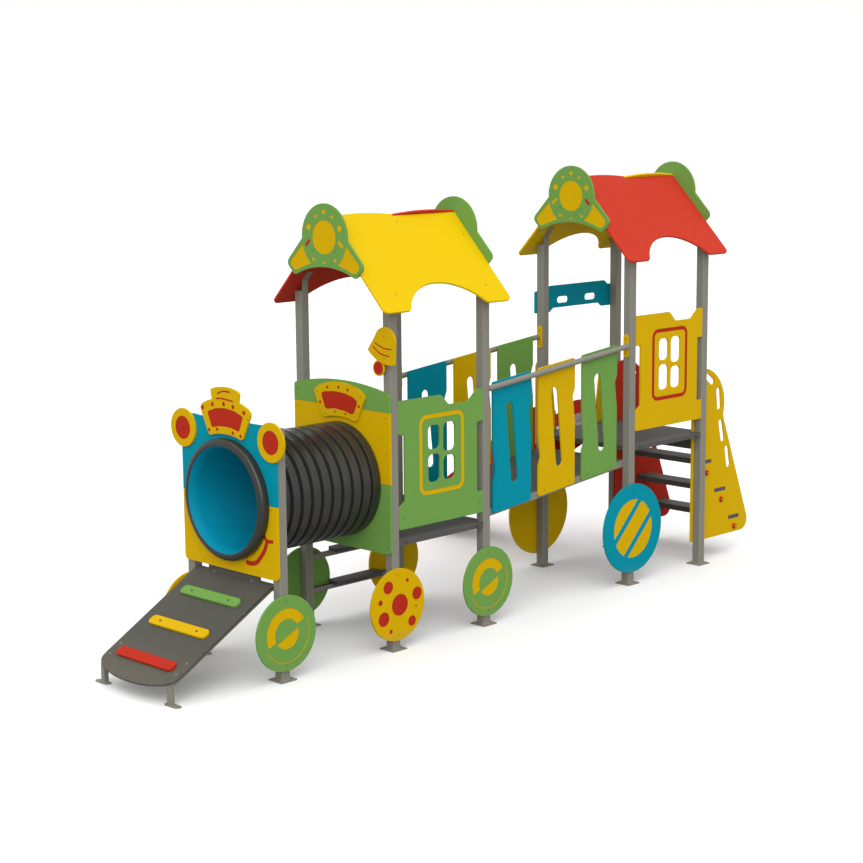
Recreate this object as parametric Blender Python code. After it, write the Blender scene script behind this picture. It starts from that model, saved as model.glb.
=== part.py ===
"""Train play structure: posts, decks, tunnel, bridge, roofs, ramp, stairs and slide.

Metres, +Z up. X runs along the train from the locomotive face to the stairs, Y runs from the
near row of posts to the far row. The origin is under the near front post, at the ground.
"""

import math

import bmesh
import bpy
from mathutils import Matrix, Vector

for old in list(bpy.data.objects):
    bpy.data.objects.remove(old, do_unlink=True)

# Driving dimensions
GAP = 0.0003              # clearance between pieces that touch
POST = 0.080              # square steel post
POST_ROUND = 0.007        # rounded edge of the post's section
TRACK = 1.0155            # between the two rows of posts, centre to centre
TUNNEL_BAY = 1.1495       # post 1 to post 2
CABIN_BAY = 1.0357        # post 2 to 3, and 4 to 5
BRIDGE_BAY = 1.8708       # post 3 to 4
FOOT = 0.160              # foot plate's side
FOOT_THICK = 0.008
BOARD = 0.018             # thickness of every plastic board
FRONT_POST_TOP = 1.905
DECK_LOW = 0.871          # top of the front cabin's deck
DECK_HIGH = 1.247
DECK_DEPTH = 0.044
SHEET = 0.004             # steel sheet of decks and chute
RIDGE_LOW = 3.375         # ridge of the front roof's outer faces
RIDGE_LIFT = 0.208        # how much higher the rear roof lies
ROOF_OVERHANG = 0.15075   # eave beyond the centre line of the posts
ROOF_PITCH = 1.0554       # fall of the roof for each metre of level run
ROOF_LENGTH = 1.412
TUNNEL_Z = 1.316          # the tunnel's axis
TUNNEL_AIR = 0.00775      # crest of the tunnel's ribs to the posts' inner faces
TUNNEL_WALL = 0.070       # crest of the ribs to the smooth bore
TUNNEL_RIBS = 11
PANEL_LAP = 0.00725       # front and arch boards beyond the posts' outer faces
PANEL_FOOT = 0.770
PANEL_SEAM = 1.327        # joint between the lower and the upper boards
PANEL_PROUD = 0.016       # front board above the tops of posts 1
ARCH_MARGIN = 0.184       # sheet left above the bore, up to the arch's upper seam
ARCH_HEAD = 0.145         # upper seam to the arch's corners
ARCH_RISE = 0.065
LAMP = 0.149              # headlamp's radius
LAMP_DROP = 0.113         # headlamp's centre below the front board's top
WHEEL_SMALL = 0.290
WHEEL_SMALL_Z = 0.368
WHEEL_LARGE = 0.400
WHEEL_LARGE_Z = 0.510
BRIDGE_SLOPE = 0.102
BRIDGE_FLOOR_Z = 0.944    # top of the bridge floor at its front end
BRIDGE_SET_IN = 0.02605   # posts' centre line to the outer side of the floor's rails
BRIDGE_BOARD_WIDTH = 0.465
BRIDGE_BOARD_HEIGHT = 1.090
BRIDGE_BOARD_PITCH = 0.560
BRIDGE_BOARD_PROUD = 0.033  # boards above the handrail's axis
HANDRAIL = 0.048
HANDRAIL_Z = 1.955        # handrail's axis at its front end
RAMP_SLOPE = 0.60
RAMP_SET_IN = 0.02775     # posts' inner faces to the ramp board's sides
RAMP_THICK = 0.020
RAMP_TOP_X = -0.060
RAMP_TOP_Z = 0.745
RAMP_LEG_X = -0.948
RAMP_LEG = 0.040
STAIR_RISE = 0.293
STAIR_TOP_DROP = 0.278    # upper tread below the high deck
GRAB_Z = 2.347            # underside of the grab board's ends
SLIDE_HALF = 0.304        # half width over the slide's cheeks
SLIDE_REACH = 2.020       # far row of posts to the slide's end

ARC_STEP = math.radians(22.5)
SLIVER = 0.002            # how deep fused solids reach into each other

MID_Y = TRACK / 2
NEAR, FAR = -1, 1
POST_X = [0.0, TUNNEL_BAY, TUNNEL_BAY + CABIN_BAY, TUNNEL_BAY + CABIN_BAY + BRIDGE_BAY,
          TUNNEL_BAY + 2 * CABIN_BAY + BRIDGE_BAY]
TUNNEL_RIM = TRACK / 2 - POST / 2 - TUNNEL_AIR
TUNNEL_BORE = TUNNEL_RIM - TUNNEL_WALL
ROOF_HALF = TRACK / 2 + ROOF_OVERHANG
ROOF_FALL = ROOF_HALF * ROOF_PITCH
ROOF_LEAN = math.atan(ROOF_PITCH)
PANEL_HALF = TRACK / 2 + POST / 2 + PANEL_LAP
PANEL_TOP = FRONT_POST_TOP + PANEL_PROUD
BRIDGE_SIDE = TRACK / 2 - BRIDGE_SET_IN
RAMP_HALF = TRACK / 2 - POST / 2 - RAMP_SET_IN
UPRIGHT = Vector((0, 0, 1))
ALONG = Vector((1, 0, 0))
ACROSS = Vector((0, 1, 0))


# Materials
def linear(level):
    """Convert one 0-255 screen level to Blender's linear colour."""
    share = level / 255
    return share / 12.92 if share < 0.04045 else ((share + 0.055) / 1.055) ** 2.4


def finish(name, screen_colour, roughness, metallic=0.0):
    material = bpy.data.materials.new(name)
    material.use_nodes = True
    shader = material.node_tree.nodes["Principled BSDF"]
    shader.inputs["Base Color"].default_value = [linear(c) for c in screen_colour] + [1.0]
    shader.inputs["Roughness"].default_value = roughness
    shader.inputs["Metallic"].default_value = metallic
    return material


FINISHES = {
    "green": ((112, 165, 70), 0.45, 0.0),
    "yellow": ((238, 194, 0), 0.45, 0.0),
    "blue": ((0, 150, 180), 0.45, 0.0),
    "red": ((205, 42, 30), 0.45, 0.0),
    "steel": ((140, 138, 132), 0.42, 0.35),
    "deck": ((84, 82, 78), 0.75, 0.0),
    "ramp": ((92, 90, 86), 0.80, 0.0),
    "black": ((52, 51, 50), 0.35, 0.0),
    "stainless": ((176, 178, 180), 0.25, 0.9),
}


# Modelling helpers
def outer_face(side):
    """Level of the posts' outer faces on one side of the train."""
    return MID_Y + side * (TRACK / 2 + POST / 2)


def inner_face(side):
    return MID_Y + side * (TRACK / 2 - POST / 2)


def rounded(corners):
    """Closed outline through corners (u, v) or (u, v, radius)."""
    points = []
    count = len(corners)
    for index, corner in enumerate(corners):
        here = Vector(corner[:2])
        if len(corner) < 3 or corner[2] <= 0:
            points.append(here)
            continue
        before = Vector(corners[index - 1][:2]) - here
        after = Vector(corners[(index + 1) % count][:2]) - here
        half_turn = (math.pi - before.angle(after)) / 2
        reach = corner[2] * math.tan(half_turn)
        reach = min(reach, 0.49 * before.length, 0.49 * after.length)
        radius = reach / math.tan(half_turn)
        middle = (before.normalized() + after.normalized()).normalized()
        centre = here + middle * math.hypot(reach, radius)
        start = here + before.normalized() * reach - centre
        end = here + after.normalized() * reach - centre
        sweep = math.atan2(start.cross(end), start.dot(end))
        steps = max(2, round(abs(sweep) / ARC_STEP))
        for step in range(steps + 1):
            points.append(centre + Matrix.Rotation(sweep * step / steps, 2) @ start)
    return points


def circle(u, v, radius, segments=32):
    turn = 2 * math.pi / segments
    return [Vector((u + radius * math.cos(turn * k), v + radius * math.sin(turn * k)))
            for k in range(segments)]


def arc(u, v, radius, start, end, steps):
    """Points on a circle from one angle in degrees to another, both ends included."""
    angles = [math.radians(start + (end - start) * k / steps) for k in range(steps + 1)]
    return [(u + radius * math.cos(a), v + radius * math.sin(a)) for a in angles]


def bow(start, end, rise, steps=8):
    """Inner points of an arc between two ends, bulging by rise to the left of the chord."""
    start, end = Vector(start), Vector(end)
    chord = end - start
    radius = (chord.length ** 2 / 4 + rise ** 2) / (2 * rise)
    left = Vector((-chord.y, chord.x)).normalized()
    centre = (start + end) / 2 + left * (rise - radius)
    first, last = start - centre, end - centre
    sweep = math.atan2(first.cross(last), first.dot(last))
    turned = [centre + Matrix.Rotation(sweep * k / steps, 2) @ first for k in range(1, steps)]
    return [tuple(point) for point in turned]


def slot(u1, v1, u2, v2, width):
    """Outline of a slot with round ends, along the line between two end centres."""
    start, end = Vector((u1, v1)), Vector((u2, v2))
    heading = math.degrees(math.atan2(v2 - v1, u2 - u1))
    points = arc(*end, width / 2, heading - 90, heading + 90, 6)
    points += arc(*start, width / 2, heading + 90, heading + 270, 6)
    return [Vector(point) for point in points]


def place(origin, across, up, normal=None):
    """Matrix that puts a flat outline's u, v and thickness into the train's frame."""
    across, up = Vector(across), Vector(up)
    normal = Vector(normal) if normal else across.cross(up)
    matrix = Matrix((across, up, normal)).transposed().to_4x4()
    matrix.translation = Vector(origin)
    return matrix


def add_object(name, mesh, colour):
    """Close off a bmesh as an object with the finish of that colour."""
    bmesh.ops.recalc_face_normals(mesh, faces=mesh.faces)
    if mesh.calc_volume(signed=True) < 0:
        bmesh.ops.reverse_faces(mesh, faces=mesh.faces)
    data = bpy.data.meshes.new(name)
    mesh.to_mesh(data)
    mesh.free()
    piece = bpy.data.objects.new(name, data)
    bpy.context.scene.collection.objects.link(piece)
    data.materials.append(finish(name, *FINISHES[colour]))
    data.shade_smooth()
    data.set_sharp_from_angle(angle=math.radians(30))
    return piece


def cut_from_sheet(name, outline, thickness, matrix, colour, holes=()):
    """A board: an outline with holes, filled and extruded along the matrix's third axis."""
    mesh = bmesh.new()
    edges = []
    for loop in [outline, *holes]:
        corners = [mesh.verts.new((point[0], point[1], 0)) for point in loop]
        edges += [mesh.edges.new((corners[k - 1], corners[k])) for k in range(len(corners))]
    bmesh.ops.triangle_fill(mesh, use_beauty=True, edges=edges)
    raised = bmesh.ops.extrude_face_region(mesh, geom=mesh.faces[:])["geom"]
    top = [vertex for vertex in raised if isinstance(vertex, bmesh.types.BMVert)]
    bmesh.ops.translate(mesh, verts=top, vec=(0, 0, thickness))
    mesh.transform(matrix)
    return add_object(name, mesh, colour)


def side_board(name, outline, start_y, direction, colour, holes=(), thickness=BOARD):
    """A board along the train, its outline in (x, z), growing from start_y to one side."""
    origin = (0, start_y + max(direction, 0) * thickness, 0)
    matrix = place(origin, ALONG, UPRIGHT)
    return cut_from_sheet(name, outline, thickness, matrix, colour, holes)


def end_board(name, outline, start_x, colour, holes=(), thickness=BOARD):
    """A board across the train, its outline in (y from the centre line, z)."""
    matrix = place((start_x, MID_Y, 0), ACROSS, UPRIGHT)
    return cut_from_sheet(name, outline, thickness, matrix, colour, holes)


def block(name, low, high, colour, edge=0.0):
    """A box between two corners, its upright edges rounded."""
    outline = rounded([(low[0], low[1], edge), (high[0], low[1], edge),
                       (high[0], high[1], edge), (low[0], high[1], edge)])
    matrix = place((0, 0, low[2]), ALONG, ACROSS)
    return cut_from_sheet(name, outline, high[2] - low[2], matrix, colour)


def turned(name, profile, segments, colour, centre_y=MID_Y, centre_z=TUNNEL_Z):
    """A closed profile of (x, radius) points spun round an axis along the train."""
    mesh = bmesh.new()
    ring = [mesh.verts.new((x, 0, radius)) for x, radius in profile]
    edges = [mesh.edges.new((ring[k - 1], ring[k])) for k in range(len(ring))]
    bmesh.ops.spin(mesh, geom=ring + edges, cent=(0, 0, 0), axis=(1, 0, 0),
                   angle=2 * math.pi, steps=segments, use_merge=True)
    mesh.transform(Matrix.Translation((0, centre_y, centre_z)))
    return add_object(name, mesh, colour)


def combine(piece, tool, operation):
    """Boolean with a second solid, which stays behind as a hidden wire."""
    modifier = piece.modifiers.new(tool.name, "BOOLEAN")
    modifier.operation = operation
    modifier.solver = "EXACT"
    modifier.object = tool
    tool.hide_render = True
    tool.display_type = "WIRE"
    return piece


def fuse(piece, *tools):
    for tool in tools:
        combine(piece, tool, "UNION")
    return piece


def cut(piece, *tools):
    for tool in tools:
        combine(piece, tool, "DIFFERENCE")
    return piece


# Posts with their foot plates
def roof_under(ridge, distance):
    """Height of a roof board's underside at a level distance from the centre line."""
    return ridge - distance * math.tan(ROOF_LEAN) - BOARD / math.cos(ROOF_LEAN)


def roof_bracket(name, x, side, ridge):
    """Bent strip from a post's inner face up under the roof board."""
    width, strip, leg, flange = 0.060, 0.005, 0.150, 0.100
    slope, rise = math.cos(ROOF_LEAN), math.sin(ROOF_LEAN)
    under = roof_under(ridge, TRACK / 2 - POST / 2) - GAP / slope
    start = -SLIVER
    outline = [(start, under - leg), (start, under + start * rise / slope),
               (flange * slope, under + flange * rise),
               (flange * slope + strip * rise, under + flange * rise - strip * slope),
               (strip, under + strip * rise / slope - strip / slope), (strip, under - leg)]
    matrix = place((x - width / 2, inner_face(side), 0), (0, -side, 0), UPRIGHT, ALONG)
    return cut_from_sheet(name, outline, width, matrix, "steel")


def post(number, side, top):
    x, y = POST_X[number - 1], MID_Y + side * TRACK / 2
    name = f"post_{number}_{'near' if side == NEAR else 'far'}"
    half = POST / 2
    shaft = block(name, (x - half, y - half, FOOT_THICK - SLIVER), (x + half, y + half, top),
                  "steel", POST_ROUND)
    plate = block(name + "_foot", (x - FOOT / 2, y - FOOT / 2, 0),
                  (x + FOOT / 2, y + FOOT / 2, FOOT_THICK), "steel", 0.010)
    return fuse(shaft, plate)


RIDGES = {2: RIDGE_LOW, 3: RIDGE_LOW, 4: RIDGE_LOW + RIDGE_LIFT, 5: RIDGE_LOW + RIDGE_LIFT}
posts = {}
for number in range(1, 6):
    for side in (NEAR, FAR):
        if number == 1:
            posts[number, side] = post(number, side, FRONT_POST_TOP)
            continue
        ridge = RIDGES[number]
        top = roof_under(ridge, TRACK / 2 + POST / 2) - GAP / math.cos(ROOF_LEAN)
        posts[number, side] = post(number, side, top)
        bracket = roof_bracket(posts[number, side].name + "_bracket", POST_X[number - 1],
                               side, ridge)
        fuse(posts[number, side], bracket)

# Wheel discs: the near ones are boards of their own, the far ones are fused to their posts
WHEELS = {1: (WHEEL_SMALL, WHEEL_SMALL_Z, "green", "yellow"),
          2: (WHEEL_SMALL, WHEEL_SMALL_Z, "yellow", "green"),
          3: (WHEEL_SMALL, WHEEL_SMALL_Z, "green", "yellow"),
          4: (WHEEL_LARGE, WHEEL_LARGE_Z, "blue", "yellow")}
for number, (radius, height, near_colour, far_colour) in WHEELS.items():
    rim = circle(POST_X[number - 1], height, radius, 36)
    side_board(f"wheel_{number}", rim, outer_face(NEAR) - GAP, NEAR, near_colour)
    far_disc = side_board(f"wheel_{number}_far", rim, outer_face(FAR) - SLIVER, FAR, far_colour,
                          thickness=BOARD + SLIVER)
    fuse(posts[number, FAR], far_disc)


# Decks: folded steel trays that reach between the posts, open below
def deck(name, front, back, first, second, top, back_half, slot_front):
    """A tray whose plan goes round four posts; its back end passes between side boards."""
    wide = TRACK / 2 + POST / 2 - SLIVER - GAP
    narrow = TRACK / 2 - POST / 2 - GAP
    lip_front = first + POST / 2 + GAP
    lip_back = second - POST / 2 - GAP
    half_plan = [(front, narrow), (lip_front, narrow), (lip_front, wide), (lip_back, wide),
                 (lip_back, narrow + GAP)]
    if slot_front < lip_back:
        half_plan += [(slot_front, narrow + GAP), (slot_front, back_half)]
    else:
        half_plan += [(lip_back, back_half)]
    half_plan += [(back, back_half)]
    mesh = bmesh.new()
    plan = [(x, -y) for x, y in half_plan] + [(x, y) for x, y in reversed(half_plan)]
    lid = mesh.faces.new([mesh.verts.new((x, MID_Y + y, top)) for x, y in plan])
    lid.normal_update()
    skirt = bmesh.ops.extrude_edge_only(mesh, edges=lid.edges[:])["geom"]
    lower = [vertex for vertex in skirt if isinstance(vertex, bmesh.types.BMVert)]
    bmesh.ops.translate(mesh, verts=lower, vec=(0, 0, -DECK_DEPTH))
    tray = add_object(name, mesh, "deck")
    wall = tray.modifiers.new("sheet", "SOLIDIFY")
    wall.thickness = SHEET
    wall.offset = -1
    wall.use_even_offset = True
    return tray


stair_front = POST_X[4] - 0.0617
stair_inner = TRACK / 2 - POST / 2 - GAP - BOARD
deck("deck_low", POST_X[1] - POST / 2 + GAP, POST_X[2] + 0.015, POST_X[1], POST_X[2],
     DECK_LOW, TRACK / 2 - POST / 2 - GAP, POST_X[3])
deck_high_back = POST_X[4] + 0.028
deck_high = deck("deck_high", POST_X[3] - 0.026, deck_high_back, POST_X[3], POST_X[4],
                 DECK_HIGH, stair_inner - GAP, stair_front - GAP)
FASCIA = 0.182            # the high deck's back plate reaches this far below its top
fascia = block("deck_high_fascia", (deck_high_back - 0.012, MID_Y - stair_inner + 0.010,
                                    DECK_HIGH - FASCIA),
               (deck_high_back - SHEET / 4, MID_Y + stair_inner - 0.010,
                DECK_HIGH - DECK_DEPTH + 0.010), "deck")
fuse(deck_high, fascia)

# Locomotive front: two boards round the tunnel's mouth
panel_x = -POST / 2 - GAP - BOARD
mouth = TUNNEL_BORE + 0.006
bore_cutter = end_board("bore_cutter", circle(0, TUNNEL_Z, mouth, 64), -0.5, "black",
                        thickness=TUNNEL_BAY + 1.0)
front_upper = end_board("front_panel_upper", rounded(
    [(-PANEL_HALF, PANEL_SEAM), (PANEL_HALF, PANEL_SEAM), (PANEL_HALF, PANEL_TOP, 0.012),
     (-PANEL_HALF, PANEL_TOP, 0.012)]), panel_x, "blue")
front_lower = end_board("front_panel_lower", rounded(
    [(-PANEL_HALF, PANEL_FOOT, 0.04), (PANEL_HALF, PANEL_FOOT, 0.04),
     (PANEL_HALF, PANEL_SEAM - GAP), (-PANEL_HALF, PANEL_SEAM - GAP)]), panel_x, "yellow")
cut(front_upper, bore_cutter)
cut(front_lower, bore_cutter)

# Arch boards on the front faces of posts 2, with the tunnel's other mouth
arch_x = POST_X[1] - POST / 2 - GAP - BOARD
ARCH_SEAM = TUNNEL_Z + TUNNEL_BORE + ARCH_MARGIN
ARCH_CORNER = ARCH_SEAM + ARCH_HEAD
arch_low = end_board("arch_board_low", rounded(
    [(-PANEL_HALF, PANEL_FOOT, 0.04), (PANEL_HALF, PANEL_FOOT, 0.04),
     (PANEL_HALF, PANEL_SEAM - GAP), (-PANEL_HALF, PANEL_SEAM - GAP)]), arch_x, "green")
arch_middle = end_board("arch_board_middle", rounded(
    [(-PANEL_HALF, PANEL_SEAM), (PANEL_HALF, PANEL_SEAM), (PANEL_HALF, ARCH_SEAM - GAP),
     (-PANEL_HALF, ARCH_SEAM - GAP)]), arch_x, "yellow")
end_board("arch_board_top", rounded(
    [(-PANEL_HALF, ARCH_SEAM), (PANEL_HALF, ARCH_SEAM), (PANEL_HALF, ARCH_CORNER, 0.03),
     *bow((PANEL_HALF, ARCH_CORNER), (-PANEL_HALF, ARCH_CORNER), -ARCH_RISE, 12),
     (-PANEL_HALF, ARCH_CORNER, 0.03)]), arch_x, "green")
cut(arch_low, bore_cutter)
cut(arch_middle, bore_cutter)

# Tunnel: one ribbed tube between the two pairs of boards
tube_front = -POST / 2
tube_back = arch_x - GAP
rib_pitch = (tube_back - tube_front) / TUNNEL_RIBS
valley = TUNNEL_RIM - 0.028
tube_profile = [(tube_front, TUNNEL_BORE)]
for rib in range(TUNNEL_RIBS):
    start = tube_front + rib * rib_pitch
    tube_profile += [(start, valley), (start + 0.10 * rib_pitch, valley),
                     (start + 0.26 * rib_pitch, TUNNEL_RIM),
                     (start + 0.84 * rib_pitch, TUNNEL_RIM)]
tube_profile += [(tube_back, valley), (tube_back, TUNNEL_BORE)]
turned("tunnel_tube", tube_profile, 30, "black")

# Rolled lip round the mouth, in front of the panel
# Points of its section: how far it stands out from the panel, and from the bore
LIP = [(0, 0.075), (0.030, 0.076), (0.060, 0.068), (0.085, 0.053), (0.100, 0.035),
       (0.104, 0.020), (0.098, 0.008), (0.080, 0.002), (0, 0)]
turned("tunnel_mouth_ring",
       [(panel_x - GAP - depth, TUNNEL_BORE + rise) for depth, rise in LIP], 40, "black")

# Headlamp discs and the crown plate with its little chimney
lamp_x = panel_x - GAP - BOARD
for side, label in ((NEAR, "near"), (FAR, "far")):
    lamp_y = side * (TRACK / 2 + PANEL_LAP)
    end_board(f"headlamp_{label}", circle(lamp_y, PANEL_TOP - LAMP_DROP, LAMP, 32), lamp_x, "yellow")


def sign_body(top_points):
    """Outline of the arched sign: low corners, then a top edge given by the caller."""
    low = 1.784
    return rounded([(-0.195, low, 0.03), *bow((-0.195, low), (0.195, low), 0.028, 6),
                    (0.195, low, 0.03), (0.304, 2.0, 0.035), *top_points, (-0.304, 2.0, 0.035)])


def sign_arch(y):
    """Height of the sign's arched top edge."""
    radius = 0.6375
    return 2.085 - radius + math.sqrt(radius ** 2 - y ** 2)


neck = [(y, sign_arch(y)) for y in (0.250, 0.200)]
chimney = [(0.157, sign_arch(0.157)), (0.171, 2.140, 0.02),
           *bow((0.171, 2.140), (-0.171, 2.140), -0.029, 6), (-0.171, 2.140, 0.02),
           (-0.157, sign_arch(0.157))]
mirrored_neck = [(-y, z) for y, z in reversed(neck)]
end_board("crown_plate", sign_body([*neck, *chimney, *mirrored_neck]), lamp_x, "yellow")
arched_top = [(y, sign_arch(y)) for y in (0.24, 0.18, 0.12, 0.06, 0, -0.06, -0.12, -0.18, -0.24)]
end_board("arch_badge", sign_body(arched_top), arch_x - GAP - BOARD, "yellow")

# Bell board with its round clapper, held off near post 2 by two spacers
BELL_LEAN = math.radians(19.2)
BELL_OFF = 0.012          # air between the bell and its post
BELL_Z = 2.317
bell_x = POST_X[1] - POST / 2 - GAP - BELL_OFF - BOARD
bell_up = Vector((0, -math.sin(BELL_LEAN), math.cos(BELL_LEAN)))
bell_middle = (bell_x, MID_Y - TRACK / 2 + 0.03175, BELL_Z)
bell_matrix = place(bell_middle, bell_up.cross(ALONG), bell_up)
bell_outline = rounded([(-0.158, 0, 0.012), *bow((-0.158, 0), (0.158, 0), -0.040, 8),
                        (0.158, 0, 0.012), (0.117, 0.130), (0.105, 0.190, 0.02),
                        *bow((0.105, 0.190), (-0.105, 0.190), -0.062, 8), (-0.105, 0.190, 0.02),
                        (-0.117, 0.130)])
bell = cut_from_sheet("bell", bell_outline, BOARD, bell_matrix, "yellow")
clapper_rim = circle(0.06375 - TRACK / 2, BELL_Z - 0.084, 0.0625, 20)
clapper = end_board("bell_clapper", clapper_rim, bell_x - 0.0002, "yellow",
                    thickness=BOARD - 0.0004)
spacers = [end_board(f"bell_spacer_{k}", circle(-0.00675 - TRACK / 2, BELL_Z + lift, 0.014, 12),
                     bell_x + BOARD / 2, "yellow", thickness=BOARD / 2 + BELL_OFF)
           for k, lift in enumerate((0.168, 0.001))]
fuse(bell, clapper, *spacers)


# Window panels between the near posts of the cabins
def window_panel(name, middle, foot, colour):
    half = CABIN_BAY / 2 - POST / 2 - GAP
    notch, height = half - 0.070, 1.020
    plan = [(-half, 0, 0.02), (half, 0, 0.02), (half, 0.180, 0.012), (notch, 0.180, 0.010),
            (notch, 0.756, 0.010), (half, 0.756, 0.012), (half, height, 0.02),
            (0.410, height, 0.04), (0.310, 0.934, 0.04), (0.085, 0.934, 0.04),
            (0.0, height, 0.04), (-half, height, 0.02), (-half, 0.756, 0.012),
            (-notch, 0.756, 0.010), (-notch, 0.218, 0.010), (-half, 0.180, 0.012)]
    lights = [(-0.150, 0.595, -0.018, 0.789), (0.020, 0.563, 0.155, 0.795),
              (-0.149, 0.331, -0.017, 0.557), (0.021, 0.333, 0.155, 0.528)]
    outline = rounded([(middle + u, foot + v, *r) for u, v, *r in plan])
    holes = [rounded([(middle + a, foot + b, 0.045), (middle + c, foot + b, 0.045),
                      (middle + c, foot + d, 0.045), (middle + a, foot + d, 0.045)])
             for a, b, c, d in lights]
    flush = outer_face(NEAR) + BOARD + 0.002
    return side_board(name, outline, flush, NEAR, colour, holes)


CABIN_MIDDLES = [(POST_X[1] + POST_X[2]) / 2, (POST_X[3] + POST_X[4]) / 2]
window_panel("window_panel_front", CABIN_MIDDLES[0], DECK_LOW + 0.081, "green")
window_panel("window_panel_rear", CABIN_MIDDLES[1], DECK_HIGH + 0.128, "yellow")


# Roof boards: two alike on each cabin, each lapping over the other along half the ridge
def roof_board(name, middle, ridge, side, colour):
    half = ROOF_LENGTH / 2
    slope_length = math.hypot(ROOF_HALF, ROOF_FALL)
    lean = 2 * ROOF_LEAN
    set_back = (BOARD * (1 + max(0.0, -math.cos(lean))) + GAP) / math.sin(lean)
    short = slope_length - set_back
    arch_half, arch_height, eave_round = 0.430, 0.242, 0.05
    outline = rounded([
        (-half, 0, eave_round), (-arch_half, 0, eave_round),
        *bow((-arch_half, 0), (arch_half, 0), arch_height, 14),
        (arch_half, 0, eave_round), (half, 0, eave_round), (half, short), (-GAP, short),
        (-GAP, slope_length), *bow((-GAP, slope_length), (-half, slope_length), -0.028, 8),
        (-half, slope_length)])
    eave = (middle, MID_Y + side * ROOF_HALF, ridge - ROOF_FALL)
    upslope = (0, -side * math.cos(ROOF_LEAN), math.sin(ROOF_LEAN))
    matrix = place(eave, (-side, 0, 0), upslope)
    return cut_from_sheet(name, outline, BOARD, matrix @ Matrix.Translation((0, 0, -BOARD)), colour)


roof_board("front_roof_near", CABIN_MIDDLES[0], RIDGE_LOW, NEAR, "yellow")
roof_board("front_roof_far", CABIN_MIDDLES[0], RIDGE_LOW, FAR, "red")
roof_board("rear_roof_near", CABIN_MIDDLES[1], RIDGE_LOW + RIDGE_LIFT, NEAR, "red")
roof_board("rear_roof_far", CABIN_MIDDLES[1], RIDGE_LOW + RIDGE_LIFT, FAR, "yellow")


# Gable boards: a round head over two wings, one at each end of each roof
def gable(name, start_x, ridge):
    head, drop = 0.260, -0.148
    lean = math.degrees(ROOF_LEAN) - 43
    plan = [*arc(0, drop, head, -lean, 180 + lean, 22), (-0.450, drop - 0.214, 0.045),
            (-0.352, -0.458, 0.04), *bow((-0.352, -0.458), (0.352, -0.458), 0.078, 8),
            (0.352, -0.458, 0.04), (0.450, drop - 0.214, 0.045)]
    outline = rounded([(u, v + ridge, *r) for u, v, *r in plan])
    return end_board(name, outline, start_x, "green")


for label, middle, ridge in (("front", CABIN_MIDDLES[0], RIDGE_LOW),
                             ("rear", CABIN_MIDDLES[1], RIDGE_LOW + RIDGE_LIFT)):
    gable(f"{label}_cabin_gable_fore", middle - ROOF_LENGTH / 2 - GAP - BOARD, ridge)
    gable(f"{label}_cabin_gable_aft", middle + ROOF_LENGTH / 2 + GAP, ridge)

# Bridge: a sloping floor in two side rails, boards up to the handrails
bridge_front = POST_X[2] + POST / 2 + GAP
bridge_back = POST_X[3] - POST / 2 - GAP
bridge_run = bridge_back - bridge_front
UPHILL = Vector((1, 0, BRIDGE_SLOPE))
rail_wide, rail_deep, floor_thick = 0.040, 0.065, 0.020
inside = BRIDGE_SIDE - rail_wide
floor_section = [(-BRIDGE_SIDE, -rail_deep), (-inside, -rail_deep), (-inside, -floor_thick),
                 (inside, -floor_thick), (inside, -rail_deep), (BRIDGE_SIDE, -rail_deep),
                 (BRIDGE_SIDE, 0), (-BRIDGE_SIDE, 0)]
cut_from_sheet("bridge_floor", floor_section, bridge_run,
               place((bridge_front, MID_Y, BRIDGE_FLOOR_Z), ACROSS, UPRIGHT, UPHILL), "deck")

board_top = HANDRAIL_Z + BRIDGE_BOARD_PROUD
for side, label in ((NEAR, "near"), (FAR, "far")):
    board_face = MID_Y + side * (BRIDGE_SIDE + GAP)
    for index, colour in enumerate(("blue", "yellow", "green")):
        left = (bridge_front + bridge_back) / 2 - 0.016 + (index - 1) * BRIDGE_BOARD_PITCH
        left -= BRIDGE_BOARD_WIDTH / 2
        right = left + BRIDGE_BOARD_WIDTH
        top_left = board_top + BRIDGE_SLOPE * (left - bridge_front)
        top_right = top_left + BRIDGE_SLOPE * BRIDGE_BOARD_WIDTH
        low_left, low_right = (z - BRIDGE_BOARD_HEIGHT for z in (top_left, top_right))
        step = 0.028
        outline = rounded([
            (left, low_left, 0.02), (right, low_right, 0.02), (right, top_right - 0.55),
            (right - step, top_right - 0.33, 0.02), (right, top_right - 0.26),
            (right, top_right, 0.02), (left, top_left, 0.02), (left, low_left + 0.55),
            (left + step, low_left + 0.33, 0.02), (left, low_left + 0.26)])
        middle = Vector(((left + right) / 2, (top_left + low_right) / 2))
        reach = Vector((-math.sin(math.radians(5.8)), math.cos(math.radians(5.8)))) * 0.318
        opening = slot(*(middle - reach), *(middle + reach), 0.065)
        side_board(f"bridge_board_{label}_{colour}", outline, board_face, side, colour, [opening])

    # Handrail tube outside the boards, with an oblong plate on each post
    handrail_y = side * (BRIDGE_SIDE + GAP + BOARD + GAP + HANDRAIL / 2)
    plate = 0.008
    matrix = place((bridge_front + plate / 2, MID_Y, HANDRAIL_Z), ACROSS, UPRIGHT, UPHILL)
    handrail = cut_from_sheet(f"handrail_{label}", circle(handrail_y, 0, HANDRAIL / 2, 16),
                              bridge_run - plate, matrix, "steel")
    for end, start_x in (("fore", bridge_front), ("aft", bridge_back - plate)):
        centre_z = HANDRAIL_Z + BRIDGE_SLOPE * (start_x - bridge_front)
        bar_y = side * (TRACK / 2 - 0.004)
        oblong = slot(bar_y, centre_z - 0.0745, bar_y, centre_z + 0.0745, 0.057)
        fuse(handrail, end_board(f"handrail_{label}_{end}", oblong, start_x, "steel",
                                 thickness=plate))

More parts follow.
